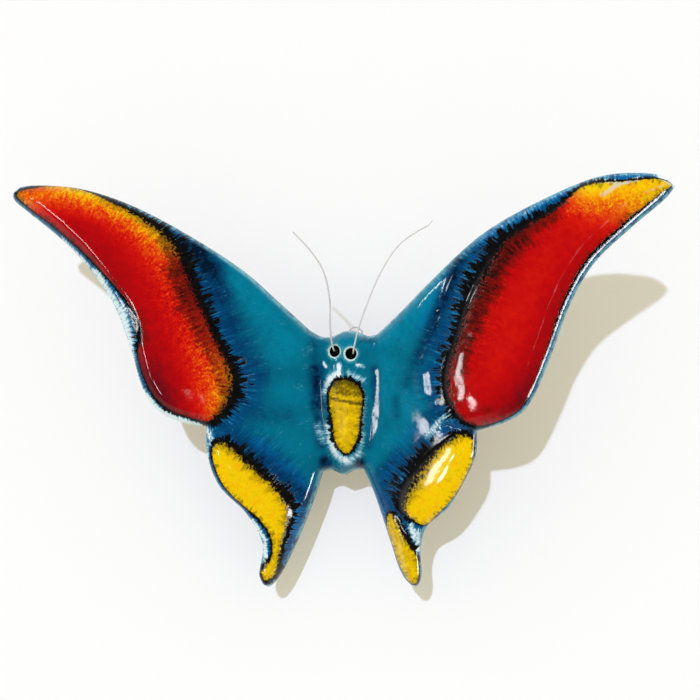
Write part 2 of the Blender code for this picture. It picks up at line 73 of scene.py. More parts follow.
LEFT_LEAD = ((-52.6, 31.1), (-51.0, 32.0), (-47.0, 32.2), (-41.3, 31.6), (-34.8, 29.6),
             (-26.9, 25.7), (-16.2, 18.7), (-10.2, 13.1), (-6.0, 9.0))
HEAD = ((-6.0, 9.0), (-4.2, 8.0), (-2.6, 8.0), (-0.6, 8.9), (1.4, 8.9), (3.6, 8.1), (5.1, 8.4))
STRETCHES = (RIGHT_LEAD, RIGHT_TRAIL, RIGHT_HIND, ABDOMEN, LEFT_HIND, LEFT_TRAIL, LEFT_LEAD, HEAD)

BODY_Y = (-15.0, -12.4, -8.9, -2.4, 1.0, 3.6, 5.8, 8.8)
BODY_HALF = (1.6, 2.7, 3.5, 4.3, 4.5, 4.0, 3.9, 3.6)
BODY_RISE = (0.4, 1.6, 2.5, 2.9, 2.9, 2.5, 2.4, 1.3)

# ---------------------------------------------------------------- the painted patches
# (x, y, half width of the black line there); each runs round one coloured patch
FORE_LEFT = ((-51.4, 30.6, .25), (-50.3, 31.5, .3), (-48.2, 31.9, .3), (-46.4, 32.1, .08),
             (-42.6, 31.8, .05), (-40.2, 31.2, .12), (-36.5, 29.8, .35), (-31.4, 27.2, .6),
             (-27.6, 24.7, .9), (-25.2, 22.3, 1.25),
             (-23.6, 18.5, 1.15), (-22.2, 14.6, 1.05), (-20.6, 11.0, .9), (-19.0, 7.2, .9),
             (-17.4, 4.0, 1.0), (-16.4, 0.6, 1.25), (-17.0, -1.8, 1.15), (-18.6, -4.3, .8),
             (-20.8, -5.9, .5), (-23.4, -5.1, .25), (-26.6, -4.0, .3), (-29.0, -1.9, .25),
             (-30.6, 1.0, .15), (-31.8, 5.4, .2), (-31.4, 8.0, .75), (-31.8, 10.4, .6),
             (-33.2, 13.3, .3), (-36.1, 16.8, .2), (-40.6, 21.5, .2), (-45.2, 25.5, .18),
             (-49.4, 28.6, .2))
FORE_RIGHT = ((50.0, 29.6, .06), (48.3, 30.5, .1), (45.8, 30.6, .2), (42.6, 30.4, .2),
              (39.6, 30.5, .3), (37.0, 29.9, .3), (35.0, 28.2, .35), (32.6, 26.4, .6),
              (29.0, 24.6, .85), (25.8, 22.6, 1.1), (23.2, 19.3, 1.4), (21.4, 16.2, 1.5),
              (19.8, 12.7, 1.25), (18.6, 8.8, 1.1), (17.4, 5.2, 1.05), (16.6, 2.4, 1.1),
              (16.7, -0.6, 1.0), (17.5, -2.9, .8), (19.2, -4.9, .45), (21.6, -5.9, .3),
              (25.3, -4.9, .1), (27.9, -3.3, .1), (29.5, -1.1, .12), (31.9, 5.0, .15),
              (34.7, 13.1, .2), (38.1, 19.2, .22), (43.5, 24.4, .22), (48.4, 28.4, .15))
HIND_LEFT = ((-20.5, -9.9, .3), (-19.6, -8.8, .55), (-17.8, -8.9, .8), (-15.8, -10.8, .85),
             (-13.6, -13.0, .8), (-11.2, -15.3, .8), (-9.2, -17.7, .85), (-8.3, -20.0, .8),
             (-8.8, -22.8, .55), (-9.7, -25.8, .4), (-10.2, -28.4, .4), (-10.7, -30.4, .4),
             (-12.2, -31.6, .35), (-13.3, -30.4, .25), (-12.7, -28.9, .4), (-11.6, -27.6, .3),
             (-11.4, -25.6, .2), (-12.0, -23.4, .25), (-13.6, -21.2, .25), (-16.4, -18.6, .12),
             (-18.9, -15.6, .12), (-20.2, -12.4, .15))
HIND_RIGHT = ((20.9, -7.3, .4), (18.8, -6.9, .6), (16.6, -8.1, .8), (14.4, -10.1, 1.1),
              (12.4, -12.4, 1.5), (10.6, -14.8, 1.75), (9.4, -17.2, 1.6), (9.6, -19.6, .8),
              (11.4, -21.0, .3), (13.3, -21.7, .1), (15.6, -19.6, .05), (18.1, -16.8, .05),
              (20.1, -13.2, .05), (21.1, -10.2, .06))
TAIL_RIGHT = ((7.4, -19.8, .25), (8.8, -20.8, .5), (9.8, -22.8, .6), (11.0, -24.8, .5),
              (12.1, -26.6, .2), (12.4, -29.2, .06), (12.0, -31.2, .3), (10.9, -31.0, .05),
              (9.2, -28.6, .05), (7.8, -25.2, .05), (6.9, -22.4, .06))
BODY_PATCH = ((0.4, 1.3, .4), (2.1, 0.7, .35), (3.1, -0.7, .25), (3.2, -2.6, .2), (2.9, -5.0, .25),
              (2.5, -8.2, .3), (1.5, -10.1, .25), (0.5, -11.1, .2), (-0.8, -10.2, .25),
              (-1.8, -8.4, .35), (-2.2, -5.6, .45), (-2.5, -3.0, .3), (-2.5, -0.9, .25),
              (-1.3, 0.9, .35))
PATCHES = (FORE_LEFT, FORE_RIGHT, HIND_LEFT, HIND_RIGHT, TAIL_RIGHT, BODY_PATCH)

# (x, y, value): 0 yellow, 0.35 orange, 0.75 red, 1 crimson, 1.15 maroon; the crimson down the right fore
# wing's outer side is also painted shade, where that surface turns down to the rim
HEAT_AND_SHADE = ((-50.8, 30.5, .2), (-48.8, 30.0, -.12), (-49.4, 31.5, .75), (-47.6, 31.2, .45), (-44.5, 31.6, -.2),
        (-41.0, 31.2, -.3), (-37.5, 30.1, -.25), (-33.5, 28.3, -.2), (-30.0, 26.2, -.1),
        (-27.8, 23.4, .1), (-46.4, 29.6, .42), (-43.4, 29.6, .56), (-40.0, 28.8, .62),
        (-36.4, 27.2, .66), (-33.0, 25.0, .62), (-30.2, 22.4, .55), (-28.0, 19.6, .5),
        (-26.4, 15.8, .58), (-24.8, 12.0, .62), (-23.0, 8.6, .58), (-20.8, 5.4, .44),
        (-19.4, 2.2, .3), (-18.8, -1.2, .26), (-20.0, -3.6, .24), (-21.4, 1.8, .5),
        (-21.6, -1.8, .5), (-22.8, 5.0, .62), (-24.0, 1.2, .7), (-23.6, -3.0, .72),
        (-44.8, 27.6, .88), (-41.0, 26.2, .9), (-37.0, 24.0, .88), (-33.6, 21.6, .84),
        (-31.0, 18.0, .83), (-28.8, 13.6, .81), (-27.4, 9.0, .79), (-26.4, 4.6, .8),
        (-25.6, 0.6, .95), (-46.8, 27.4, .92), (-42.6, 24.0, .96), (-38.2, 19.8, .96),
        (-34.6, 16.0, .93), (-31.8, 11.2, .88), (-30.2, 6.6, .93), (-29.6, 2.8, 1.08),
        (-28.6, -0.6, 1.25), (-26.4, -2.8, 1.25), (-24.4, -4.0, 1.0),
        (48.6, 29.2, .08), (45.8, 29.3, .08), (42.0, 29.2, .06), (38.6, 28.8, -.2),
        (36.4, 28.0, -.2), (47.2, 27.6, .2), (44.6, 26.4, .24), (42.0, 26.8, .26),
        (39.6, 27.2, .2), (37.4, 26.0, .85), (34.6, 26.6, 1.0), (43.4, 24.8, .5), (40.6, 25.0, .6),
        (38.0, 24.6, .62), (35.0, 25.6, .62), (31.6, 23.6, .74), (34.6, 21.6, .7),
        (31.4, 17.6, .66), (29.0, 12.4, .66), (27.4, 7.4, .68), (26.0, 2.4, .66),
        (24.4, -1.6, .7), (27.2, 19.8, .8), (24.6, 14.8, .76), (22.4, 9.6, .72),
        # painted shade: from (41.4, 22.8) on, the crimson darkens the right fore wing's outer side where
        # it turns down to the rim
        (20.8, 4.8, .76), (20.4, -0.6, .74), (21.4, -3.8, .8), (41.4, 22.8, .86),
        (38.0, 20.4, .84), (35.2, 15.6, .88), (33.0, 10.4, .92), (31.4, 5.2, .94),
        (29.6, 0.6, 1.05), (27.6, -2.4, 1.15), (24.6, -4.2, 1.1))

# (x1, y1, x2, y2, width, weight) in each table of strokes below
# deeper blue where the glaze pools, partly painted shade in the creases beside the body, where the hind
# wings meet the abdomen and in the dark area on the left fore wing by its patch; then lighter; then pale
# glaze where it runs thin, partly painted highlights and reflections along the wings' edges and tips
POOL_AND_SHADE = ((-23.4, 22.6, -20.2, 18.2, 2.0, 1.3), (-20.2, 18.2, -18.6, 13.8, 1.9, .85),
        (-18.6, 13.8, -16.6, 8.6, 2.0, .6), (-16.0, 7.4, -12.4, 2.0, 2.0, .45),
        (-13.9, -4.4, -9.4, -4.6, 2.0, .5), (-5.2, 7.0, -4.8, 3.4, 1.2, .5),
        (-4.6, 2.8, -4.3, -3.6, 1.3, 1.1), (-4.4, -3.6, -4.0, -9.5, 1.0, .8),
        (-16.8, -8.3, -12.9, -11.5, 1.6, .6), (-12.9, -11.5, -6.8, -17.8, 2.0, .85),
        (19.0, 19.6, 16.8, 14.2, 1.3, 1.15), (16.8, 14.2, 14.3, 8.8, 1.3, 1.05),
        (14.3, 8.8, 12.0, 4.2, 1.4, .8), (12.0, 4.2, 10.6, 0.6, 1.5, .5),
        (9.4, -10.6, 5.4, -14.6, 1.6, .6),
        (14.2, -8.2, 6.2, -15.4, 2.0, .6), (12.6, -5.9, 16.6, -3.2, 1.3, .5),
        (-3.3, -12.2, -3.2, -13.0, 1.0, 1.4), (2.4, -12.0, 2.5, -13.2, .9, 1.4),
        (8.6, -2.0, 8.8, -4.4, 1.0, .5), (5.0, 2.8, 5.2, -4.0, .9, .75), (5.2, -4.0, 4.0, -9.6, .8, .6),
        (3.4, 7.6, 4.6, 7.4, .9, .5))
BRIGHT = ((-18.4, 18.9, -12.9, 12.5, 2.6, .8), (-12.9, 12.5, -8.4, 6.0, 3.0, .7),
          (-8.6, 0.0, -8.2, -4.0, 2.2, .35), (7.6, 9.0, 14.6, 15.4, 3.6, 1.0),
          (6.8, 4.0, 7.4, -2.0, 2.6, .7), (10.6, -2.6, 13.4, -0.4, 2.4, .8),
          (12.4, -1.0, 14.4, 3.0, 2.0, .5), (11.0, -10.0, 8.0, -8.6, 1.6, .4),
          (-6.0, -15.0, -9.4, -24.0, 1.2, .6),
          (4.8, -14.8, 8.2, -22.0, .8, .4), (-1.0, 7.6, 1.5, 7.4, 1.6, .5))
# painted highlights and reflections among these pale strokes: along both fore wings' leading edges, down
# the left one's outer edge, at the tips and where the right wings meet
PALE = ((-43.9, 23.6, -38.2, 17.8, .45, .8), (-38.2, 17.8, -34.4, 12.0, .9, 1.0),
        (-34.4, 12.0, -33.0, 7.4, 1.1, 1.0), (-33.0, 7.4, -32.7, 3.2, .7, .9),
        (-32.7, 3.2, -31.1, -1.0, .5, .9), (-31.1, -1.0, -28.6, -4.0, .8, 1.1),
        (-28.6, -4.0, -24.6, -5.7, .9, 1.1), (-24.6, -5.7, -21.9, -6.4, .8, 1.0),
        (-21.0, -7.0, -20.6, -8.8, .8, .8), (-21.2, -9.0, -21.2, -12.0, .4, .7),
        (-14.4, -21.6, -12.5, -24.7, .55, 1.0), (-12.5, -24.7, -12.5, -28.0, .55, 1.0),
        (11.2, -21.8, 11.6, -23.6, .7, 1.0), (12.2, -22.6, 12.2, -25.6, .6, .9),
        (17.6, -4.0, 15.8, -5.2, .7, .7), (15.8, -5.2, 13.9, -7.6, .8, .75),
        (20.8, -8.0, 21.2, -8.8, .5, .9), (19.0, 8.4, 19.4, 5.6, .5, .5),
        (-52.2, 30.4, -51.9, 31.4, .4, .8), (50.4, 29.6, 49.2, 30.6, .35, .9),
        (49.2, 30.6, 47.2, 31.2, .25, .7),
        (-44.0, 31.8, -36.0, 29.5, .35, .8), (-36.0, 29.5, -28.6, 25.9, .35, .7),
        (14.5, 16.2, 22.5, 22.9, .6, .4), (22.5, 22.9, 31.0, 27.6, .6, .5),
        (31.0, 27.6, 36.0, 29.9, .5, .5), (36.0, 29.9, 40.0, 31.2, .4, .45),
        (40.0, 31.4, 47.0, 31.2, .3, .5))
# brighter blue
COBALT = ((22.0, 22.5, 34.0, 29.2, 1.0, .9), (34.0, 29.2, 46.0, 31.4, .8, .9),
          (12.6, 9.6, 18.6, 19.6, 1.8, .55), (-13.5, -9.5, -6.5, -16.5, 1.8, .8),
          (-7.5, -17.0, -8.0, -24.0, 1.0, .8), (9.0, -11.0, 6.0, -15.0, 1.6, .7),
          (4.5, -16.0, 7.0, -22.0, 1.0, .7), (12.0, -6.5, 9.0, -9.0, 1.6, .5))
# milky, where the white slip under the glaze shows, and painted glints and glare on the right fore wing's
# tip
MILK_AND_GLINT = ((-0.7, 3.4, -0.6, 1.8, .45, 1.1), (-0.9, 1.9, -2.3, 1.0, .8, 1.0),
        (-2.3, 1.0, -3.1, -0.8, .75, .8), (-3.1, -0.8, -3.2, -4.6, .4, .2),
        (-2.8, -6.4, -2.4, -9.0, .7, .75), (-2.4, -9.0, -1.2, -11.2, .8, .9),
        (-1.2, -11.3, 0.6, -12.1, .8, .85), (0.6, -12.1, 2.4, -11.0, .7, .7),
        (2.6, -10.6, 3.2, -7.6, .4, .65), (3.2, -7.6, 3.7, -1.6, .35, .3),
        (3.2, 1.0, 1.0, 2.1, .6, .7), (-4.4, -6.6, -3.6, -8.6, .8, .55),
        (-3.5, 3.7, -3.0, 3.1, .3, 1.2), (2.3, 3.4, 3.1, 3.2, .3, 1.2),
        (40.2, 28.4, 42.2, 29.8, .55, .85), (42.2, 29.8, 45.4, 30.7, .4, 1.0),
        (39.4, 30.6, 42.2, 30.3, .4, .9), (45.9, 28.4, 48.6, 29.5, .18, .8),
        (48.2, 31.0, 50.3, 29.6, .5, 1.3), (-52.4, 30.6, -51.6, 31.8, .5, 1.2))
# low ridges and lumps in the surface
RIDGES = ((18.4, 18.6, 16.2, 12.8, .5, 1.0), (15.7, 11.6, 14.6, 9.4, .5, .8),
          (13.9, 7.6, 12.4, 4.6, .5, .6), (12.7, 2.0, 13.1, -0.8, 1.2, 2.4),
          (14.8, -2.4, 15.0, -2.8, .7, 1.4), (17.4, -3.6, 15.4, -5.8, .7, 1.5),
          (4.4, 2.6, 4.7, -4.6, .8, 1.0), (4.7, -4.6, 3.4, -9.6, .7, .8))
# dark smudges in the body's patch
SMUT = ((-2.3, -1.9, 0.4, -2.4, .30, .9), (0.4, -2.4, 3.0, -2.9, .32, 1.0),
        (0.6, 0.9, 2.4, 0.0, .8, 1.25), (-1.6, 0.4, 0.4, 0.8, .7, 1.1),
        (-1.0, -0.6, 2.4, -1.0, 1.2, .75), (-1.4, -3.6, 2.2, -4.2, .9, .35),
        (-1.6, -3.2, -0.9, -4.2, .5, .4), (1.0, -7.4, 1.6, -7.7, .35, .5),
        (-1.4, -6.2, -0.9, -6.6, .4, .45), (0.6, -9.0, 1.4, -9.4, .5, .35))
# where the colours meet in grains, and where the black oxide has run into the red
GRAIN = ((-50.0, 30.4, -44.0, 30.2, 1.3, .7), (-44.0, 30.2, -36.0, 27.6, 2.2, 1.0),
         (-36.0, 27.6, -29.0, 22.6, 2.6, 1.0), (-29.0, 22.6, -26.0, 14.0, 2.8, 1.0),
         (-26.0, 14.0, -22.6, 6.0, 3.0, 1.0), (-22.6, 6.0, -19.6, -2.0, 3.0, 1.0),
         (-27.4, 18.0, -25.4, 8.0, 1.6, .8), (46.4, 27.4, 41.0, 27.4, 1.6, .8),
         (41.0, 26.4, 35.0, 26.2, 1.5, .9), (24.0, 14.0, 20.0, 4.0, 2.4, .6))
SOOT = ((-27.6, 23.0, -25.6, 18.4, 1.1, .8), (-25.8, 18.4, -23.6, 12.4, 1.9, .95),
        (-23.6, 12.4, -20.8, 6.4, 1.7, .85), (-20.2, 5.2, -18.2, -1.0, 1.3, .7),
        (-18.4, -2.4, -19.8, -4.6, .9, .5), (-28.8, 24.6, -33.0, 27.0, .6, .5),
        (33.4, 25.4, 29.0, 22.8, 1.3, .75), (29.0, 22.8, 25.2, 18.6, 2.3, .95),
        (25.2, 18.6, 22.6, 13.4, 2.5, .95), (22.6, 13.4, 20.2, 7.4, 2.2, .95),
        (20.2, 7.4, 19.0, 2.4, 1.9, .9), (19.0, 2.4, 19.2, -1.6, 1.4, .75),
        (20.4, -3.6, 23.4, -3.0, 1.2, .5), (27.4, -2.2, 24.4, -3.6, .8, .35),
        (-30.6, 11.0, -29.8, 7.0, .9, .5))


def spline(points, step):
    """Evenly spaced points along a smooth curve through the given points."""
    pts = [np.array(p, dtype=float) for p in points]
    ends = [2 * pts[0] - pts[1]] + pts + [2 * pts[-1] - pts[-2]]
    if np.allclose(pts[0], pts[-1]):
        ends = [pts[-2]] + pts + [pts[1]]
    fine = []
    for k in range(1, len(ends) - 2):
        p0, p1, p2, p3 = ends[k - 1:k + 3]
        t1 = math.sqrt(np.linalg.norm(p1 - p0))
        t2 = t1 + math.sqrt(np.linalg.norm(p2 - p1))
        t3 = t2 + math.sqrt(np.linalg.norm(p3 - p2))
        for i in range(16):
            t = t1 + (t2 - t1) * i / 16
            a1 = p0 * ((t1 - t) / t1) + p1 * (t / t1)
            a2 = p1 * ((t2 - t) / (t2 - t1)) + p2 * ((t - t1) / (t2 - t1))
            a3 = p2 * ((t3 - t) / (t3 - t2)) + p3 * ((t - t2) / (t3 - t2))
            b1 = a1 * ((t2 - t) / t2) + a2 * (t / t2)
            b2 = a2 * ((t3 - t) / (t3 - t1)) + a3 * ((t - t1) / (t3 - t1))
            fine.append(b1 * ((t2 - t) / (t2 - t1)) + b2 * ((t - t1) / (t2 - t1)))
    fine.append(pts[-1])
    fine = np.array(fine)
    run = np.concatenate([[0.0], np.cumsum(np.linalg.norm(np.diff(fine, axis=0), axis=1))])
    marks = np.linspace(0.0, run[-1], max(2, round(run[-1] / step)) + 1)
    return np.stack([np.interp(marks, run, fine[:, c]) for c in range(fine.shape[1])], axis=1)


def outline(step):
    """The whole edge of the butterfly, evenly spaced."""
    return np.concatenate([spline(s, step)[:-1] for s in STRETCHES])


def loop_field(xy, loop):
    """Signed distance (+ inside) to a closed loop, the run along it, and its third value."""
    following = np.roll(loop, -1, axis=0)
    best = np.full(len(xy), 1e9)
    run = np.zeros(len(xy))
    third = np.zeros(len(xy))
    hit = np.zeros(len(xy), dtype=bool)
    start = 0.0
    for p, q in zip(loop, following):
        d = q[:2] - p[:2]
        size = math.hypot(d[0], d[1])
        t = np.clip(((xy - p[:2]) @ d) / (size * size), 0.0, 1.0)
        gap = np.hypot(xy[:, 0] - p[0] - t * d[0], xy[:, 1] - p[1] - t * d[1])
        near = gap < best
        best = np.where(near, gap, best)
        run = np.where(near, start + t * size, run)
        if loop.shape[1] > 2:
            third = np.where(near, p[2] + (q[2] - p[2]) * t, third)
        if p[1] != q[1]:
            cross = (p[1] > xy[:, 1]) != (q[1] > xy[:, 1])
            at = p[0] + (xy[:, 1] - p[1]) * (q[0] - p[0]) / (q[1] - p[1])
            hit ^= cross & (xy[:, 0] < at)
        start += size
    return np.where(hit, best, -best), run, third


def patch_fields(xy):
    """The nearest patch for each point: depth inside it, run along its edge, line width, index."""
    depth = np.full(len(xy), -1e9)
    run = np.zeros(len(xy))
    ink = np.zeros(len(xy))
    which = np.zeros(len(xy))
    for k, points in enumerate(PATCHES):
        loop = spline(points + points[:1], 0.7)[:-1]
        s, r, w = loop_field(xy, loop)
        near = s > depth
        depth = np.where(near, s, depth)
        run = np.where(near, r + 200.0 * k, run)
        ink = np.where(near, w, ink)
        which = np.where(near, k, which)
    return depth, run, ink, which


def strokes(xy, table):
    """How much each point is covered by soft-edged strokes."""
    best = np.zeros(len(xy))
    for x1, y1, x2, y2, width, weight in table:
        d = np.array([x2 - x1, y2 - y1])
        t = np.clip(((xy - (x1, y1)) @ d) / (d @ d), 0.0, 1.0)
        gap = np.hypot(xy[:, 0] - x1 - t * d[0], xy[:, 1] - y1 - t * d[1])
        best = np.maximum(best, weight * np.exp(-(gap / width) ** 2))
    return best


def heat_and_shade_field(xy, which):
    """Yellow to crimson in the fore wings' patches, with crimson as painted shade on the right one's outer
    side; yellow in the others.
    """
    total = np.zeros(len(xy))
    value = np.zeros(len(xy))
    for x, y, heat_and_shade in HEAT_AND_SHADE:
        weight = np.exp(-((xy[:, 0] - x) ** 2 + (xy[:, 1] - y) ** 2) / 9.0) + 1e-9
        value += heat_and_shade * weight
        total += weight
    value /= total
    return np.where(which < 2, value, np.where(which < 4, 0.09, 0.02))


def climb(reach):
    """Height of the wings at a distance from the middle line."""
    return KEEL_Z + WING_RISE * (1.0 - np.exp(-(reach / WING_REACH) ** 1.3))


def slab_middle(xy):
    """Middle of the slab, flattened under the body."""
    reach = np.abs(xy[:, 0])
    return climb(reach ** 3 / (reach ** 2 + 16.0))


def rounded(depth, width):
    """A quarter round: 0 at the edge and 1 from width inward."""
    return np.sqrt(1.0 - (1.0 - np.clip(depth / width, 0.0, 1.0)) ** 2)


def waves(xy, size, seed):
    """Slow hand-made unevenness, about -1 to 1."""
    out = np.empty(len(xy))
    for i, (x, y) in enumerate(xy):
        out[i] = noise.noise(Vector((x / size, y / size, seed)))
    return out


def top_height(xy, depth, patch_depth, which):
    """The glazed face: slab, body, raised patches, grooves, ridges and unevenness."""
    reach = np.abs(xy[:, 0])
    middle = slab_middle(xy)
    half = np.interp(xy[:, 1], BODY_Y, BODY_HALF)
    rise = np.interp(xy[:, 1], BODY_Y, BODY_RISE)
    off = np.clip(np.abs(xy[:, 0] - 0.3) / half, 0.0, 1.0)
    body = rise * (1.0 - off ** 2) ** 1.2
    full = rounded(depth, 2.4)
    swell = 0.45 * (1.0 - np.exp(-depth / 5.0))
    slab = SLAB_HALF * rounded(depth, RIM_ROUND)
    wings = which < 5
    inner = np.clip(patch_depth, 0.0, 9.0)
    pillow = np.where(wings, 0.42 * (1.0 - np.exp(-inner / 1.6)), 0.06 * (1 - np.exp(-inner / .7)))
    bank = np.minimum(patch_depth, 0.6) + np.where(which < 2, 4.0, 2.2)
    bank = np.where(which < 2, 0.15, np.where(wings, 0.12, 0.0)) * 0.5 * np.logaddexp(0.0, bank / 0.5)
    groove = np.where(wings, -0.07, -0.04) * np.exp(-(patch_depth / 0.7) ** 2)
    relief = (pillow + groove + bank) * np.clip((depth - 0.5) / 2.0, 0.0, 1.0)
    relief = relief + 0.1 * strokes(xy, RIDGES)
    fold = np.where((which == 1) & (patch_depth > 0.0), np.exp(-((patch_depth - 3.1) / 1.1) ** 2), 0.0)
    relief = relief + 0.13 * fold * np.clip((xy[:, 0] - 25.0) / 4.0, 0.0, 1.0)
    uneven = (0.10 * waves(xy, 6.0, 3.1) + 0.035 * waves(xy, 2.2, 8.4)) * np.clip(depth / 2, 0, 1)
    return middle + slab + (climb(reach) - middle + body) * full + swell + relief + uneven


def back_height(xy, depth):
    """The back of the slab."""
    uneven = (0.09 * waves(xy, 4.0, 5.7) + 0.03 * waves(xy, 1.3, 1.2)) * np.clip(depth / 2, 0, 1)
    return slab_middle(xy) - SLAB_HALF * rounded(depth, 1.0) - 0.05 + uneven


def triangulate(points, loops):
    """Triangles inside the first loop and outside the round ones that follow it."""
    edges = []
    for start, count in loops:
        edges += [(start + i, start + (i + 1) % count) for i in range(count)]
    start, count = loops[0]
    flat = [Vector((float(p[0]), float(p[1]))) for p in points]
    got = delaunay_2d_cdt(flat, edges, [list(range(start, start + count))], 1, 1e-7)
    origin = np.array([o[0] for o in got[3]])
    tris = origin[np.array(got[2])]
    xy = np.array(points)
    centre = xy[tris].mean(axis=1)
    keep = np.ones(len(tris), dtype=bool)
    for start, count in loops[1:]:
        ring = xy[start:start + count]
        middle = ring.mean(axis=0)
        radius = np.hypot(*(ring[0] - middle))
        keep &= np.hypot(centre[:, 0] - middle[0], centre[:, 1] - middle[1]) > radius
    tris = tris[keep]
    a, b, c = (xy[tris[:, k]] for k in range(3))
    turn = (b[:, 0] - a[:, 0]) * (c[:, 1] - a[:, 1]) - (b[:, 1] - a[:, 1]) * (c[:, 0] - a[:, 0])
    tris[turn < 0] = tris[turn < 0][:, ::-1]
    return tris


def circle(centre, radius, count):
    turn = np.arange(count) * 2 * math.pi / count
    return np.stack([centre[0] + radius * np.cos(turn), centre[1] + radius * np.sin(turn)], axis=1)


def sheet_points(rim, normal, offsets, step, hole_rings, hole_sides):
    """Points of one side: the rim, rows inward from it, an even fill, and rings at the eyes."""
    edge = outline(EDGE_STEP)
    rows = [rim]
    for offset in offsets:
        shifted = rim + normal * offset
        depth = loop_field(shifted, edge)[0]
        rows.append(shifted[depth > offset * 0.94])
    low = rim.min(axis=0)
    high = rim.max(axis=0)
    j, i = np.mgrid[0:int((high[1] - low[1]) / (step * .866)) + 2, 0:int((high[0] - low[0]) / step) + 2]
    fill = np.stack([(low[0] + step * (i + 0.5 * (j % 2))).ravel(),
                     (low[1] + step * 0.866 * j).ravel()], axis=1)
    depth = loop_field(fill, edge)[0]
    fill = fill[depth > offsets[-1] + step * 0.55]
    for eye in EYES:
        far = EYE_RADIUS + hole_rings[-1] + step * 0.5
        fill = fill[np.hypot(fill[:, 0] - eye[0], fill[:, 1] - eye[1]) > far]
    rows.append(fill)
    points = np.concatenate(rows)
    loops = [(0, len(rim))]
    for n, eye in enumerate(EYES):
        other = EYES[1 - n]
        loops.append((len(points), hole_sides))
        points = np.concatenate([points, circle(eye, EYE_RADIUS, hole_sides)])
        for extra in hole_rings:
            ring = circle(eye, EYE_RADIUS + extra, hole_sides)
            apart = np.hypot(ring[:, 0] - other[0], ring[:, 1] - other[1])
            mine = EYE_RADIUS + extra
            points = np.concatenate([points, ring[apart > mine + 0.02]])
    return points, loops


def make_butterfly():
    """Face and back as two fine sheets that meet at the rim, joined through the eyes."""
    rim = outline(RIM_STEP)
    ahead = np.roll(rim, -1, axis=0) - np.roll(rim, 1, axis=0)
    ahead /= np.linalg.norm(ahead, axis=1)[:, None]
    normal = np.stack([ahead[:, 1], -ahead[:, 0]], axis=1)
    edge = outline(EDGE_STEP)
    if loop_field(rim[:1] + normal[:1] * 0.5, edge)[0][0] < 0:
        normal = -normal
    count = len(rim)
    face, loops = sheet_points(rim, normal, (.04, .12, .24, .4, .62, .9, 1.25), 0.42,
                               (.06, .14, .26, .42), HOLE_SIDES)
    depth = np.maximum(loop_field(face, edge)[0], 0.0)
    depth[:count] = 0.0
    patch, run, ink, which = patch_fields(face)
    top = top_height(face, depth, patch, which)
    eye_gap = np.min([np.hypot(face[:, 0] - e[0], face[:, 1] - e[1]) for e in EYES], axis=0)
    lip = np.clip((EYE_RADIUS + 0.45 - eye_gap) / 0.45, 0.0, 1.0)
    top += 0.10 * np.sin(np.clip(lip, 0, 1) * math.pi) - 0.42 * lip ** 3
    tris = triangulate(face, loops)

    back, back_loops = sheet_points(rim, normal, (.05, .16, .35, .65, 1.1), 0.95, (.1, .3), HOLE_SIDES)
    back_depth = np.maximum(loop_field(back, edge)[0], 0.0)
    back_depth[:count] = 0.0
    low = back_height(back, back_depth)
    low[:count] = top[:count]
    back_tris = triangulate(back, back_loops)
    shift = len(face) - count
    verts = np.concatenate([np.column_stack([face, top]), np.column_stack([back, low])[count:]])
    back_ids = np.where(back_tris < count, back_tris, back_tris + shift)[:, ::-1]
    faces = [tuple(t) for t in tris.tolist()] + [tuple(t) for t in back_ids.tolist()]

    walls = []
    for (a, n), (b, _) in zip(loops[1:], back_loops[1:]):
        above = list(range(a, a + n))
        last = [b + shift + i for i in range(n)]
        for r in range(1, WALL_ROWS + 1):
            if r == WALL_ROWS:
                below = last
            else:
                t = r / WALL_ROWS
                below = list(range(len(verts) + len(walls), len(verts) + len(walls) + n))
                for i in range(n):
                    walls.append(verts[a + i] * (1 - t) + verts[last[i]] * t)
            for i in range(n):
                k = (i + 1) % n
                faces.append((above[i], below[i], below[k], above[k]))
            above = below
    verts = np.concatenate([verts, np.array(walls)])

    mesh = bpy.data.meshes.new("butterfly")
    mesh.from_pydata((verts * MM).tolist(), [], faces)
    mesh.shade_smooth()
    total = len(verts)
    n_face = len(face)
    n_back = len(back) - count
    xy = verts[:, :2]
    fields = {
        "patch_depth": np.full(total, -9.0),
        "patch_run": np.zeros(total),
        "ink": np.full(total, 0.2),
        "warmth_and_shade": np.zeros(total),
        "rim_depth": np.zeros(total),
        "eye_gap": np.full(total, 9.0),
        "pool_and_shade": np.zeros(total),
        "bright": np.zeros(total),
        "pale": np.zeros(total),
        "milk_and_glint": np.zeros(total),
        "cobalt": np.zeros(total),
        "smut": np.zeros(total),
        "grain": np.zeros(total),
        "soot": np.zeros(total),
        "body": np.zeros(total),
        "wall": np.zeros(total),
    }
    fields["patch_depth"][:n_face] = patch
    fields["patch_run"][:n_face] = run
    fields["ink"][:n_face] = ink
    fields["warmth_and_shade"][:n_face] = heat_and_shade_field(face, which)
    fields["rim_depth"][:n_face] = depth
    fields["rim_depth"][n_face:n_face + n_back] = -back_depth[count:]
    fields["eye_gap"][:n_face] = eye_gap - EYE_RADIUS
    for name, table in (("pool_and_shade", POOL_AND_SHADE), ("bright", BRIGHT), ("pale", PALE), ("milk_and_glint", MILK_AND_GLINT),
                        ("cobalt", COBALT), ("smut", SMUT)):
        fields[name][:n_face] = strokes(face, table)
    fields["grain"][:n_face] = strokes(face, GRAIN) * (which < 2)
    fields["soot"][:n_face] = strokes(face, SOOT) * (which < 2)
    fields["body"][:n_face] = which > 4.5
    fields["wall"][n_face + n_back:] = 1.0
    fields["rim_depth"][n_face + n_back:] = 2.0
    for name, values in fields.items():
        layer = mesh.attributes.new(name, "FLOAT", "POINT")
        layer.data.foreach_set("value", values.astype(np.float32))
    obj = bpy.data.objects.new("glazed_butterfly", mesh)
    bpy.context.scene.collection.objects.link(obj)
    return obj


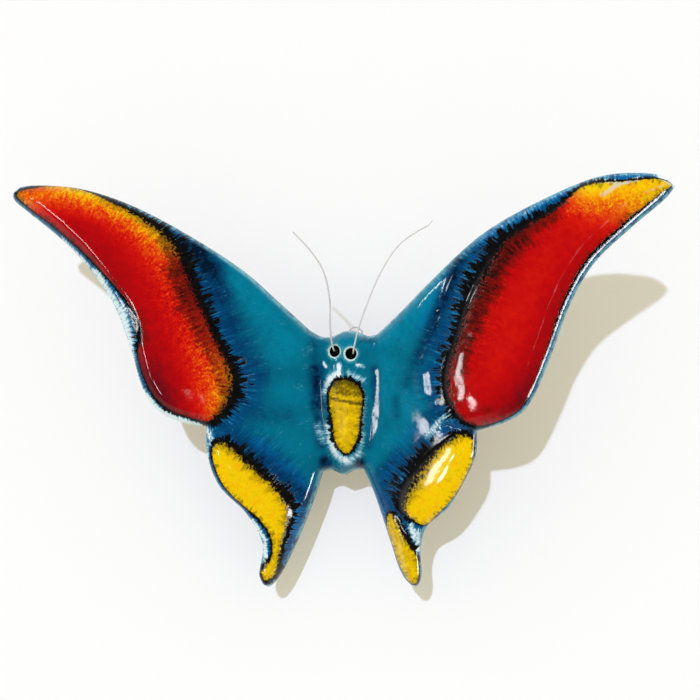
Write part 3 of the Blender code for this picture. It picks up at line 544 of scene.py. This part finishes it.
# ---------------------------------------------------------------- materials
class Nodes:
    """Short names for building a material's node tree."""

    def __init__(self, name):
        self.mat = bpy.data.materials.new(name)
        self.mat.use_nodes = True
        self.tree = self.mat.node_tree
        self.shader = self.tree.nodes["Principled BSDF"]

    def new(self, kind, **settings):
        node = self.tree.nodes.new(kind)
        for key, value in settings.items():
            setattr(node, key, value)
        return node

    def link(self, source, target):
        self.tree.links.new(source, target)
        return source

    def put(self, socket, value):
        if isinstance(value, bpy.types.NodeSocket):
            self.tree.links.new(value, socket)
        elif hasattr(socket.default_value, "__len__") and not hasattr(value, "__len__"):
            socket.default_value = [value] * len(socket.default_value)
        else:
            socket.default_value = value

    def attr(self, name):
        return self.new("ShaderNodeAttribute", attribute_name=name).outputs["Fac"]

    def math(self, operation, a, b=0.0, c=None, clamp=False):
        node = self.new("ShaderNodeMath", operation=operation, use_clamp=clamp)
        self.put(node.inputs[0], a)
        self.put(node.inputs[1], b)
        if c is not None:
            self.put(node.inputs[2], c)
        return node.outputs[0]

    def step(self, value, low, high):
        """0 below low and 1 above high, smooth between; low may be above high."""
        node = self.new("ShaderNodeMapRange", interpolation_type="SMOOTHSTEP")
        self.put(node.inputs["Value"], value)
        self.put(node.inputs["From Min"], low)
        self.put(node.inputs["From Max"], high)
        return node.outputs["Result"]

    def mix(self, factor, a, b, blend="MIX"):
        node = self.new("ShaderNodeMix", data_type="RGBA", blend_type=blend)
        self.put(node.inputs["Factor"], factor)
        self.put(node.inputs["A"], a)
        self.put(node.inputs["B"], b)
        return node.outputs["Result"]

    def noise(self, vector, scale, detail=3.0, rough=0.55, distort=0.0):
        node = self.new("ShaderNodeTexNoise")
        self.put(node.inputs["Vector"], vector)
        self.put(node.inputs["Scale"], scale)
        self.put(node.inputs["Detail"], detail)
        self.put(node.inputs["Roughness"], rough)
        self.put(node.inputs["Distortion"], distort)
        return node.outputs["Fac"]

    def vector(self, x, y, z=0.0):
        node = self.new("ShaderNodeCombineXYZ")
        for socket, value in zip(node.inputs, (x, y, z)):
            self.put(socket, value)
        return node.outputs[0]

    def place(self, scale=1000.0):
        """The surface point in millimetres."""
        coords = self.new("ShaderNodeTexCoord").outputs["Object"]
        node = self.new("ShaderNodeVectorMath", operation="SCALE")
        self.put(node.inputs[0], coords)
        node.inputs["Scale"].default_value = scale
        return node.outputs[0]

    def ramp(self, factor, stops):
        node = self.new("ShaderNodeValToRGB")
        self.put(node.inputs["Fac"], factor)
        ramp = node.color_ramp
        ramp.elements.remove(ramp.elements[1])
        ramp.elements[0].position = stops[0][0]
        ramp.elements[0].color = stops[0][1]
        for at, colour in stops[1:]:
            ramp.elements.new(at).color = colour
        return node.outputs["Color"]

    def bump(self, height, strength, distance, normal=None):
        node = self.new("ShaderNodeBump")
        self.put(node.inputs["Height"], height)
        node.inputs["Strength"].default_value = strength
        node.inputs["Distance"].default_value = distance
        if normal is not None:
            self.link(normal, node.inputs["Normal"])
        return node.outputs["Normal"]


def rgb(red, green, blue):
    """A colour as seen in full light, 0 to 255, as the linear colour that a shader takes."""
    out = []
    for c in (red, green, blue):
        c /= 255
        c = c / 12.92 if c <= 0.04045 else ((c + 0.055) / 1.055) ** 2.4
        out.append(c * 0.9)
    return (*out, 1.0)


def glaze_material():
    """Turquoise glaze with the painted patches, their black lines and the bare clay back."""
    n = Nodes("glazed_ceramic")
    at = n.place()
    depth = n.attr("patch_depth")
    run = n.attr("patch_run")
    ink = n.math("MULTIPLY", n.attr("ink"), 1.15)
    heat_and_shade = n.attr("warmth_and_shade")
    rim = n.attr("rim_depth")
    body = n.attr("body")
    grain = n.attr("grain")

    def swing(value, low=0.3, high=0.7):
        """A noise value stretched to run from -0.5 to 0.5."""
        return n.math("SUBTRACT", n.step(value, low, high), 0.5)

    def along(fast, slow, seed):
        """Noise drawn out across the nearest patch's edge."""
        spot = n.vector(n.math("MULTIPLY", run, fast), n.math("MULTIPLY", depth, slow), seed)
        return n.noise(spot, 1.0, 4.0, 0.7)

    fine = n.noise(at, 2.3, 5.0, 0.7)
    mid = n.noise(at, 0.9, 4.0, 0.6)
    slow = n.noise(at, 0.16, 3.0, 0.5)
    speck = n.noise(at, 4.5, 3.0, 0.75)
    streak = along(1.3, 0.2, 0.0)
    hair = along(3.4, 0.35, 4.0)
    fringe = along(1.5, 0.35, 7.0)
    away = n.math("MULTIPLY", depth, -1.0)

    # ground: turquoise, pooling to blue and navy with painted shade in the creases, paler where it runs
    # thin and with painted highlights and reflections
    ground = n.mix(n.step(slow, 0.35, 0.66), rgb(0, 104, 130), rgb(0, 118, 146))
    bright = n.math("MULTIPLY", n.attr("bright"), n.step(mid, 0.05, 0.75))
    ground = n.mix(n.math("MULTIPLY", bright, 0.95), ground, rgb(0, 140, 172))
    reach = n.math("ADD", away, n.math("MULTIPLY", swing(streak), 2.6))
    blue = n.math("MULTIPLY", n.step(reach, 6.2, 1.4), n.math("SUBTRACT", 0.92, body))
    ground = n.mix(blue, ground, rgb(0, 66, 120))
    near = n.math("MULTIPLY", n.step(away, 4.6, 1.2), n.math("SUBTRACT", 1.0, body))
    lines = n.math("MULTIPLY", n.step(hair, 0.5, 0.7), near)
    ground = n.mix(n.math("MULTIPLY", lines, 0.8), ground, rgb(10, 130, 186))
    shade = n.math("MULTIPLY", n.step(hair, 0.48, 0.3), near)
    ground = n.mix(n.math("MULTIPLY", shade, 0.6), ground, rgb(0, 38, 86))
    rays = n.math("ADD", n.math("MULTIPLY", swing(hair), 0.5), n.math("MULTIPLY", swing(fine), 0.35))
    cobalt = n.step(n.math("ADD", n.attr("cobalt"), rays), 0.3, 0.85)
    ground = n.mix(n.math("MULTIPLY", cobalt, 0.65), ground, rgb(0, 112, 182))
    # painted shade in the creases and hollows, over the glaze's own pooled blue
    pool_and_shade = n.math("MULTIPLY", n.attr("pool_and_shade"), n.math("ADD", 0.75, n.math("MULTIPLY", swing(mid), 0.4)))
    pool_and_shade = n.math("MULTIPLY", pool_and_shade, 1.0, clamp=True)
    ground = n.mix(n.math("MULTIPLY", n.step(pool_and_shade, 0.0, 0.7), 0.85), ground, rgb(0, 50, 92))
    ground = n.mix(n.step(pool_and_shade, 0.55, 1.0), ground, rgb(0, 24, 50))
    thin = n.math("MULTIPLY", n.step(rim, 0.6, 0.12), n.step(mid, 0.34, 0.6))
    ground = n.mix(n.math("MULTIPLY", thin, 0.75), ground, rgb(120, 206, 222))
    # pale: glaze running thin, partly painted highlights and reflections on edges, tips and where the
    # right wings meet
    pale = n.math("ADD", n.attr("pale"), rays)
    ground = n.mix(n.math("MULTIPLY", n.step(pale, 0.2, 0.6), 0.5), ground, rgb(70, 170, 200))
    ground = n.mix(n.step(pale, 0.5, 0.95), ground, rgb(226, 246, 250))
    ring = n.math("ADD", n.attr("eye_gap"), n.math("MULTIPLY", swing(mid), 0.12))
    ground = n.mix(n.math("MULTIPLY", n.step(ring, 0.8, 0.15), 0.5), ground, rgb(90, 190, 196))
    ground = n.mix(n.step(ring, 0.3, 0.14), ground, rgb(222, 248, 246))

    # patches: yellow to crimson, in grains where the colours meet; the crimson on the right fore wing's
    # outer side is painted shade
    amount = n.math("ADD", 0.05, n.math("MULTIPLY", grain, 0.26))
    drawn = n.math("ADD", n.math("MULTIPLY", swing(fine), 0.6),
                   n.math("MULTIPLY", swing(along(1.9, 0.8, 11.0)), 0.7))
    warm_and_shade = n.math("MULTIPLY_ADD", heat_and_shade, 0.8, n.math("MULTIPLY", drawn, amount))
    warm_and_shade = n.math("ADD", warm_and_shade, n.math("MULTIPLY", swing(mid), 0.07))
    warm_and_shade = n.math("ADD", warm_and_shade, n.math("MULTIPLY", swing(speck), n.math("MULTIPLY", grain, 0.2)))
    paint = n.ramp(warm_and_shade, ((0.0, rgb(218, 176, 2)), (0.06, rgb(255, 214, 1)), (0.19, rgb(248, 150, 4)),
                          (0.31, rgb(236, 84, 10)), (0.46, rgb(222, 26, 8)), (0.6, rgb(198, 5, 8)),
                          (0.74, rgb(168, 4, 12)), (0.86, rgb(116, 8, 22)), (1.0, rgb(80, 8, 20))))
    # olive and brown where the black line's oxide bleeds into the colour
    bleed = n.math("ADD", depth, n.math("MULTIPLY", swing(fringe), 1.5))
    broad = n.math("MULTIPLY_ADD", ink, 1.7, 0.25)
    stain = n.step(bleed, broad, n.math("MULTIPLY", broad, 0.3))
    mottle = n.math("MULTIPLY_ADD", n.step(speck, 0.38, 0.6), 0.6, 0.35)
    stain_colour = n.mix(n.step(heat_and_shade, 0.2, 0.5), rgb(132, 112, 6), rgb(96, 22, 10))
    paint = n.mix(n.math("MULTIPLY", stain, mottle), paint, stain_colour)
    haze = n.math("ADD", n.math("MULTIPLY", swing(fringe), 0.55), n.math("MULTIPLY", swing(fine), 0.25))
    soot = n.math("ADD", n.attr("soot"), n.math("MULTIPLY_ADD", swing(hair), 0.25, haze))
    paint = n.mix(n.math("MULTIPLY", n.step(soot, 0.3, 0.85), 0.75), paint, rgb(92, 16, 8))
    paint = n.mix(n.math("MULTIPLY", n.step(soot, 0.75, 1.15), 0.85), paint, rgb(22, 12, 8))
    smut = n.math("ADD", n.attr("smut"), n.math("MULTIPLY", swing(fine), 0.6))
    paint = n.mix(n.math("MULTIPLY", n.step(smut, 0.25, 0.8), 0.8), paint, rgb(62, 52, 6))

    # the black line: ragged spikes outward, softer inward
    ragged = n.math("ADD", n.math("MULTIPLY", swing(fringe), 1.5), swing(hair))
    spike = n.math("MULTIPLY", ragged, n.math("MULTIPLY", ink, 1.15))
    outer = n.math("ADD", away, spike)
    outside = n.step(outer, n.math("ADD", ink, 0.07), n.math("SUBTRACT", ink, 0.07))
    jag = n.math("MULTIPLY", swing(fine), n.math("MULTIPLY", ink, 1.1))
    inner = n.math("ADD", depth, jag)
    within = n.step(inner, n.math("MULTIPLY", ink, 0.95), n.math("MULTIPLY", ink, 0.45))
    inside = n.step(n.math("MULTIPLY_ADD", spike, 0.2, depth), -0.04, 0.04)
    # milky slip, and painted glints on the right fore wing's tip
    milk_and_glint = n.math("ADD", n.attr("milk_and_glint"), n.math("ADD", n.math("MULTIPLY", swing(hair), 0.42),
                                                n.math("MULTIPLY", swing(fine), 0.22)))
    ground = n.mix(n.math("MULTIPLY", n.step(milk_and_glint, 0.12, 0.75), 0.8), ground, rgb(112, 190, 214))
    ground = n.mix(n.step(milk_and_glint, 0.45, 0.95), ground, rgb(240, 250, 252))
    paint = n.mix(n.math("MULTIPLY", n.step(milk_and_glint, 0.3, 0.95), 0.85), paint, rgb(222, 216, 196))
    colour = n.mix(inside, ground, paint)
    black = n.math("MULTIPLY", outside, within)
    oxide = n.mix(n.step(mid, 0.3, 0.7), rgb(6, 6, 8), rgb(20, 18, 16))
    colour = n.mix(black, colour, oxide)

    # side wall: dark teal below the rounded edge, then bare clay on the back
    side = n.math("MULTIPLY", n.step(rim, 0.07, 0.02), n.step(rim, -2.4, -1.6))
    colour = n.mix(n.math("MULTIPLY", side, 0.85), colour, rgb(0, 58, 76))
    line = n.math("ADD", rim, n.math("MULTIPLY", n.math("SUBTRACT", mid, 0.5), 2.2))
    bare = n.step(line, -1.25, -1.45)
    clay = n.mix(n.step(n.noise(at, 0.5, 5.0, 0.65), 0.3, 0.7), rgb(226, 214, 196), rgb(204, 188, 166))
    clay = n.mix(n.math("MULTIPLY", n.step(speck, 0.66, 0.74), 0.5), clay, rgb(140, 112, 84))
    wash = n.math("MULTIPLY", n.step(n.noise(at, 0.22, 4.0, 0.6), 0.56, 0.72), 0.5)
    clay = n.mix(wash, clay, rgb(120, 176, 176))
    colour = n.mix(bare, colour, clay)
    # the eye holes' walls: near black, dark glaze with painted shade deep in the holes
    colour = n.mix(n.attr("wall"), colour, rgb(2, 8, 9))

    n.link(colour, n.shader.inputs["Base Color"])
    gloss = n.math("MULTIPLY_ADD", n.step(fine, 0.35, 0.8), 0.05, 0.05)
    rough = n.math("MULTIPLY_ADD", bare, 0.62, gloss)
    matte = n.math("MULTIPLY", body, inside)
    rough = n.math("MULTIPLY_ADD", matte, 0.16, rough)
    n.link(rough, n.shader.inputs["Roughness"])
    ripple = n.math("MULTIPLY_ADD", mid, 0.7, n.math("MULTIPLY", black, 0.35))
    grit = n.math("MULTIPLY", n.math("MULTIPLY", bare, speck), 1.4)
    normal = n.bump(n.math("ADD", ripple, grit), 0.35, 0.00006)
    n.link(normal, n.shader.inputs["Normal"])
    n.shader.inputs["IOR"].default_value = 1.5
    n.link(n.math("MULTIPLY_ADD", matte, -0.4, 0.5), n.shader.inputs["Specular IOR Level"])
    return n.mat


def metal_material(name, tint, dark, rough, along):
    """Plated or drawn metal: fine lines along one axis, faint tarnish, small dings."""
    n = Nodes(name)
    at = n.place()
    scale = n.new("ShaderNodeVectorMath", operation="MULTIPLY")
    n.put(scale.inputs[0], at)
    scale.inputs[1].default_value = along
    lines = n.noise(scale.outputs[0], 6.0, 4.0, 0.65)
    cloud = n.noise(at, 0.7, 4.0, 0.6)
    spots = n.noise(at, 4.5, 2.0, 0.6)
    colour = n.mix(n.math("MULTIPLY", n.step(cloud, 0.4, 0.8), 0.6), tint, dark)
    colour = n.mix(n.math("MULTIPLY", n.step(lines, 0.45, 0.7), 0.35), colour, dark)
    n.link(colour, n.shader.inputs["Base Color"])
    n.shader.inputs["Metallic"].default_value = 1.0
    value = n.math("ADD", rough, n.math("MULTIPLY", lines, 0.18))
    value = n.math("ADD", value, n.math("MULTIPLY", n.step(cloud, 0.5, 0.8), 0.06))
    n.link(value, n.shader.inputs["Roughness"])
    height = n.math("ADD", lines, n.math("MULTIPLY", n.step(spots, 0.68, 0.76), -1.0))
    n.link(n.bump(height, 0.25, 0.00002), n.shader.inputs["Normal"])
    return n.mat


def epoxy_material(name, light, dark):
    """Hardened adhesive: cloudy, with trapped bubbles and a wiped skin."""
    n = Nodes(name)
    at = n.place()
    cloud = n.noise(at, 0.8, 4.0, 0.6)
    cells = n.new("ShaderNodeTexVoronoi")
    n.put(cells.inputs["Vector"], at)
    cells.inputs["Scale"].default_value = 2.6
    bubble = n.step(cells.outputs["Distance"], 0.16, 0.1)
    colour = n.mix(n.step(cloud, 0.3, 0.7), light, dark)
    colour = n.mix(n.math("MULTIPLY", bubble, 0.4), colour, light)
    n.link(colour, n.shader.inputs["Base Color"])
    n.link(n.math("ADD", 0.14, n.math("MULTIPLY", cloud, 0.2)), n.shader.inputs["Roughness"])
    height = n.math("ADD", cloud, n.math("MULTIPLY", bubble, 0.5))
    n.link(n.bump(height, 0.5, 0.00012), n.shader.inputs["Normal"])
    n.shader.inputs["Subsurface Weight"].default_value = 0.15
    n.shader.inputs["Subsurface Radius"].default_value = (0.0012, 0.0009, 0.0005)
    return n.mat


# ---------------------------------------------------------------- pieces
butterfly = make_butterfly()
butterfly.data.materials.append(glaze_material())
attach(butterfly, "brooch")
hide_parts("ceramic_butterfly")

NICKEL = metal_material("nickel_plate", rgb(238, 232, 222), rgb(206, 196, 180), 0.14, (0.25, 8.0, 8.0))
STEEL = metal_material("pin_steel", rgb(232, 234, 238), rgb(196, 198, 204), 0.12, (0.2, 9.0, 9.0))
WIRE = metal_material("silvered_wire", rgb(250, 250, 250), rgb(214, 214, 216), 0.34, (2.0, 2.0, 2.0))
WIRE.node_tree.nodes["Principled BSDF"].inputs["Metallic"].default_value = 0.3
EPOXY = epoxy_material("epoxy", rgb(212, 198, 158), rgb(178, 158, 108))
# the glue behind the eyes is near black as painted shade, so the eye holes look dark
EYE_SHADE_EPOXY = epoxy_material("dark_epoxy_as_eye_shade", rgb(52, 50, 48), rgb(26, 25, 24))
for node, mat in (("antenna_wire", WIRE), ("antenna_glue", EYE_SHADE_EPOXY), ("glue_pad", EPOXY),
                  ("back_plate", NICKEL), ("hinge_joint", NICKEL), ("joint_rivet", STEEL),
                  ("pin_stem", STEEL), ("catch_base", NICKEL), ("catch_rotor", NICKEL)):
    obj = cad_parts[node]
    for k in range(len(obj.material_slots)):
        obj.material_slots[k].link = "OBJECT"
        obj.material_slots[k].material = mat


# ---------------------------------------------------------------- floor, light, camera
FLOOR_NORMAL = Vector((0.0775, 0.1496, 0.9857)).normalized()
FLOOR_AT = -0.0075         # along the normal, in metres
FLOOR_HALF = 3.0
SUN_TRAVEL = Vector((0.0683, -0.4179, -0.9059))
SUN_COLOUR = (0.64, 0.72, 1.0)
SUN_POWER = 1.75
SUN_SPREAD = 1.6           # degrees
SKY_WARM = (0.775, 0.73, 0.565, 1.0)     # what lights dull surfaces
GLOSS_HIGH = (0.035, 0.04, 0.045, 1.0)   # what the glaze mirrors overhead
GLOSS_LOW = (0.75, 0.77, 0.78, 1.0)      # and near the floor
PAPER = (0.93, 0.93, 0.93, 1.0)          # the backdrop itself
CAMERA_LEAN = 10.0         # degrees
CAMERA_DISTANCE = 0.1826
CAMERA_LENS = 56.57
CAMERA_AIM = Vector((0.0, 0.00581, 0.0))


def make_floor():
    """A pale sheet under the brooch, clear from below."""
    size = FLOOR_HALF
    mesh = bpy.data.meshes.new("floor")
    mesh.from_pydata([(-size, -size, 0), (size, -size, 0), (size, size, 0), (-size, size, 0)], [],
                     [(0, 1, 2, 3)])
    obj = bpy.data.objects.new("floor", mesh)
    bpy.context.scene.collection.objects.link(obj)
    obj.rotation_mode = "QUATERNION"
    obj.rotation_quaternion = FLOOR_NORMAL.to_track_quat("Z", "Y")
    obj.location = FLOOR_NORMAL * FLOOR_AT
    n = Nodes("pale_floor")
    n.shader.inputs["Base Color"].default_value = (0.9, 0.9, 0.9, 1.0)
    n.shader.inputs["Roughness"].default_value = 0.9
    n.shader.inputs["Specular IOR Level"].default_value = 0.1
    clear = n.new("ShaderNodeBsdfTransparent")
    choose = n.new("ShaderNodeMixShader")
    under = n.new("ShaderNodeNewGeometry").outputs["Backfacing"]
    n.put(choose.inputs[0], under)
    n.link(n.shader.outputs[0], choose.inputs[1])
    n.link(clear.outputs[0], choose.inputs[2])
    n.link(choose.outputs[0], n.tree.nodes["Material Output"].inputs["Surface"])
    mesh.materials.append(n.mat)


def make_window(name, toward, aim, distance, width, height, power, panes=(1, 1), bar=0.12,
                soft=False):
    """A lit window seen from `aim` in the direction `toward`; soft ones also light dull surfaces."""
    toward = Vector(toward).normalized()
    turn = toward.to_track_quat("Z", "Y")
    columns, rows = panes
    pane_w = width / columns
    pane_h = height / rows
    for i in range(columns):
        for j in range(rows):
            lamp = bpy.data.lights.new(f"{name}_{i}_{j}", "AREA")
            lamp.shape = "RECTANGLE"
            lamp.size = pane_w * (1.0 - bar)
            lamp.size_y = pane_h * (1.0 - bar)
            lamp.energy = power / (columns * rows)
            obj = bpy.data.objects.new(lamp.name, lamp)
            bpy.context.scene.collection.objects.link(obj)
            shift = Vector(((i + 0.5) * pane_w - width / 2, (j + 0.5) * pane_h - height / 2, 0.0))
            obj.location = Vector(aim) + toward * distance + turn @ shift
            obj.rotation_mode = "QUATERNION"
            obj.rotation_quaternion = turn
            obj.visible_diffuse = soft
            obj.visible_camera = False


def from_angles(azimuth, elevation):
    """The direction at an azimuth from +X and a height above the brooch's plane, in degrees."""
    turn = math.radians(azimuth)
    lift = math.radians(elevation)
    return (math.cos(lift) * math.cos(turn), math.cos(lift) * math.sin(turn), math.sin(lift))


def make_light():
    """The sky, the sun and the small windows that the glaze mirrors."""
    world = bpy.data.worlds.new("studio")
    bpy.context.scene.world = world
    world.use_nodes = True
    tree = world.node_tree
    back = tree.nodes["Background"]
    path = tree.nodes.new("ShaderNodeLightPath")
    coords = tree.nodes.new("ShaderNodeTexCoord")
    height = tree.nodes.new("ShaderNodeVectorMath")
    height.operation = "DOT_PRODUCT"
    height.inputs[1].default_value = FLOOR_NORMAL
    tree.links.new(coords.outputs["Generated"], height.inputs[0])
    rise = tree.nodes.new("ShaderNodeMapRange")
    rise.interpolation_type = "SMOOTHSTEP"
    rise.inputs["From Min"].default_value = 0.45
    rise.inputs["From Max"].default_value = 0.02
    tree.links.new(height.outputs["Value"], rise.inputs["Value"])
    gloss = tree.nodes.new("ShaderNodeMix")
    gloss.data_type = "RGBA"
    gloss.inputs["A"].default_value = GLOSS_HIGH
    gloss.inputs["B"].default_value = GLOSS_LOW
    tree.links.new(rise.outputs["Result"], gloss.inputs["Factor"])
    mix = tree.nodes.new("ShaderNodeMix")
    mix.data_type = "RGBA"
    mix.inputs["A"].default_value = SKY_WARM
    tree.links.new(gloss.outputs["Result"], mix.inputs["B"])
    tree.links.new(path.outputs["Is Glossy Ray"], mix.inputs["Factor"])
    paper = tree.nodes.new("ShaderNodeMix")
    paper.data_type = "RGBA"
    paper.inputs["B"].default_value = PAPER
    tree.links.new(mix.outputs["Result"], paper.inputs["A"])
    tree.links.new(path.outputs["Is Camera Ray"], paper.inputs["Factor"])
    tree.links.new(paper.outputs["Result"], back.inputs["Color"])
    sun = bpy.data.lights.new("key", "SUN")
    sun.energy = SUN_POWER
    sun.angle = math.radians(SUN_SPREAD)
    sun.color = SUN_COLOUR
    obj = bpy.data.objects.new("key", sun)
    bpy.context.scene.collection.objects.link(obj)
    obj.rotation_mode = "QUATERNION"
    obj.rotation_quaternion = SUN_TRAVEL.to_track_quat("-Z", "Y")
    obj.visible_glossy = False
    make_window("high", from_angles(165, 28), (0.0165, 0.0155, 0.0099), 0.12, 0.014, 0.006, 0.004)
    make_window("side", from_angles(197, 50), (0.0198, -0.0023, 0.0118), 0.15, 0.0164, 0.0095, 0.009,
                (3, 2), 0.3)
    make_window("edge", from_angles(-34, 24), (0.038, 0.01, 0.014), 0.08, 0.05, 0.015, 0.05, (3, 1), 0.06)
    make_window("flank", from_angles(183, 46), (0.0052, -0.003, 0.0055), 0.2, 0.05, 0.02, 0.04, (2, 3))
    make_window("fold", from_angles(-48, 77), (0.03, 0.0, 0.012), 0.6, 0.03, 0.03, 0.006)
    make_window("under", from_angles(70, -50), (0.0, 0.0, 0.0), 0.7, 0.3, 0.3, 2.2, soft=True)
    make_window("below", from_angles(-60, -30), (0.0, 0.0, 0.0), 0.7, 0.12, 0.5, 1.6, (1, 3), soft=True)


def make_camera():
    """Looks at the face, leaning a little to the right."""
    lean = math.radians(CAMERA_LEAN)
    right = Vector((math.cos(lean), 0.0, -math.sin(lean)))
    back = Vector((math.sin(lean), 0.0, math.cos(lean)))
    data = bpy.data.cameras.new("camera")
    data.lens = CAMERA_LENS
    data.sensor_width = 36.0
    cam = bpy.data.objects.new("camera", data)
    bpy.context.scene.collection.objects.link(cam)
    up = Vector((0.0, 1.0, 0.0))
    turn = Matrix((right, up, back)).transposed().to_4x4()
    turn.translation = CAMERA_AIM + back * CAMERA_DISTANCE
    cam.matrix_world = turn
    data.clip_start = 0.005
    bpy.context.scene.camera = cam


make_floor()
make_light()
make_camera()
bpy.context.scene.view_settings.view_transform = "Standard"
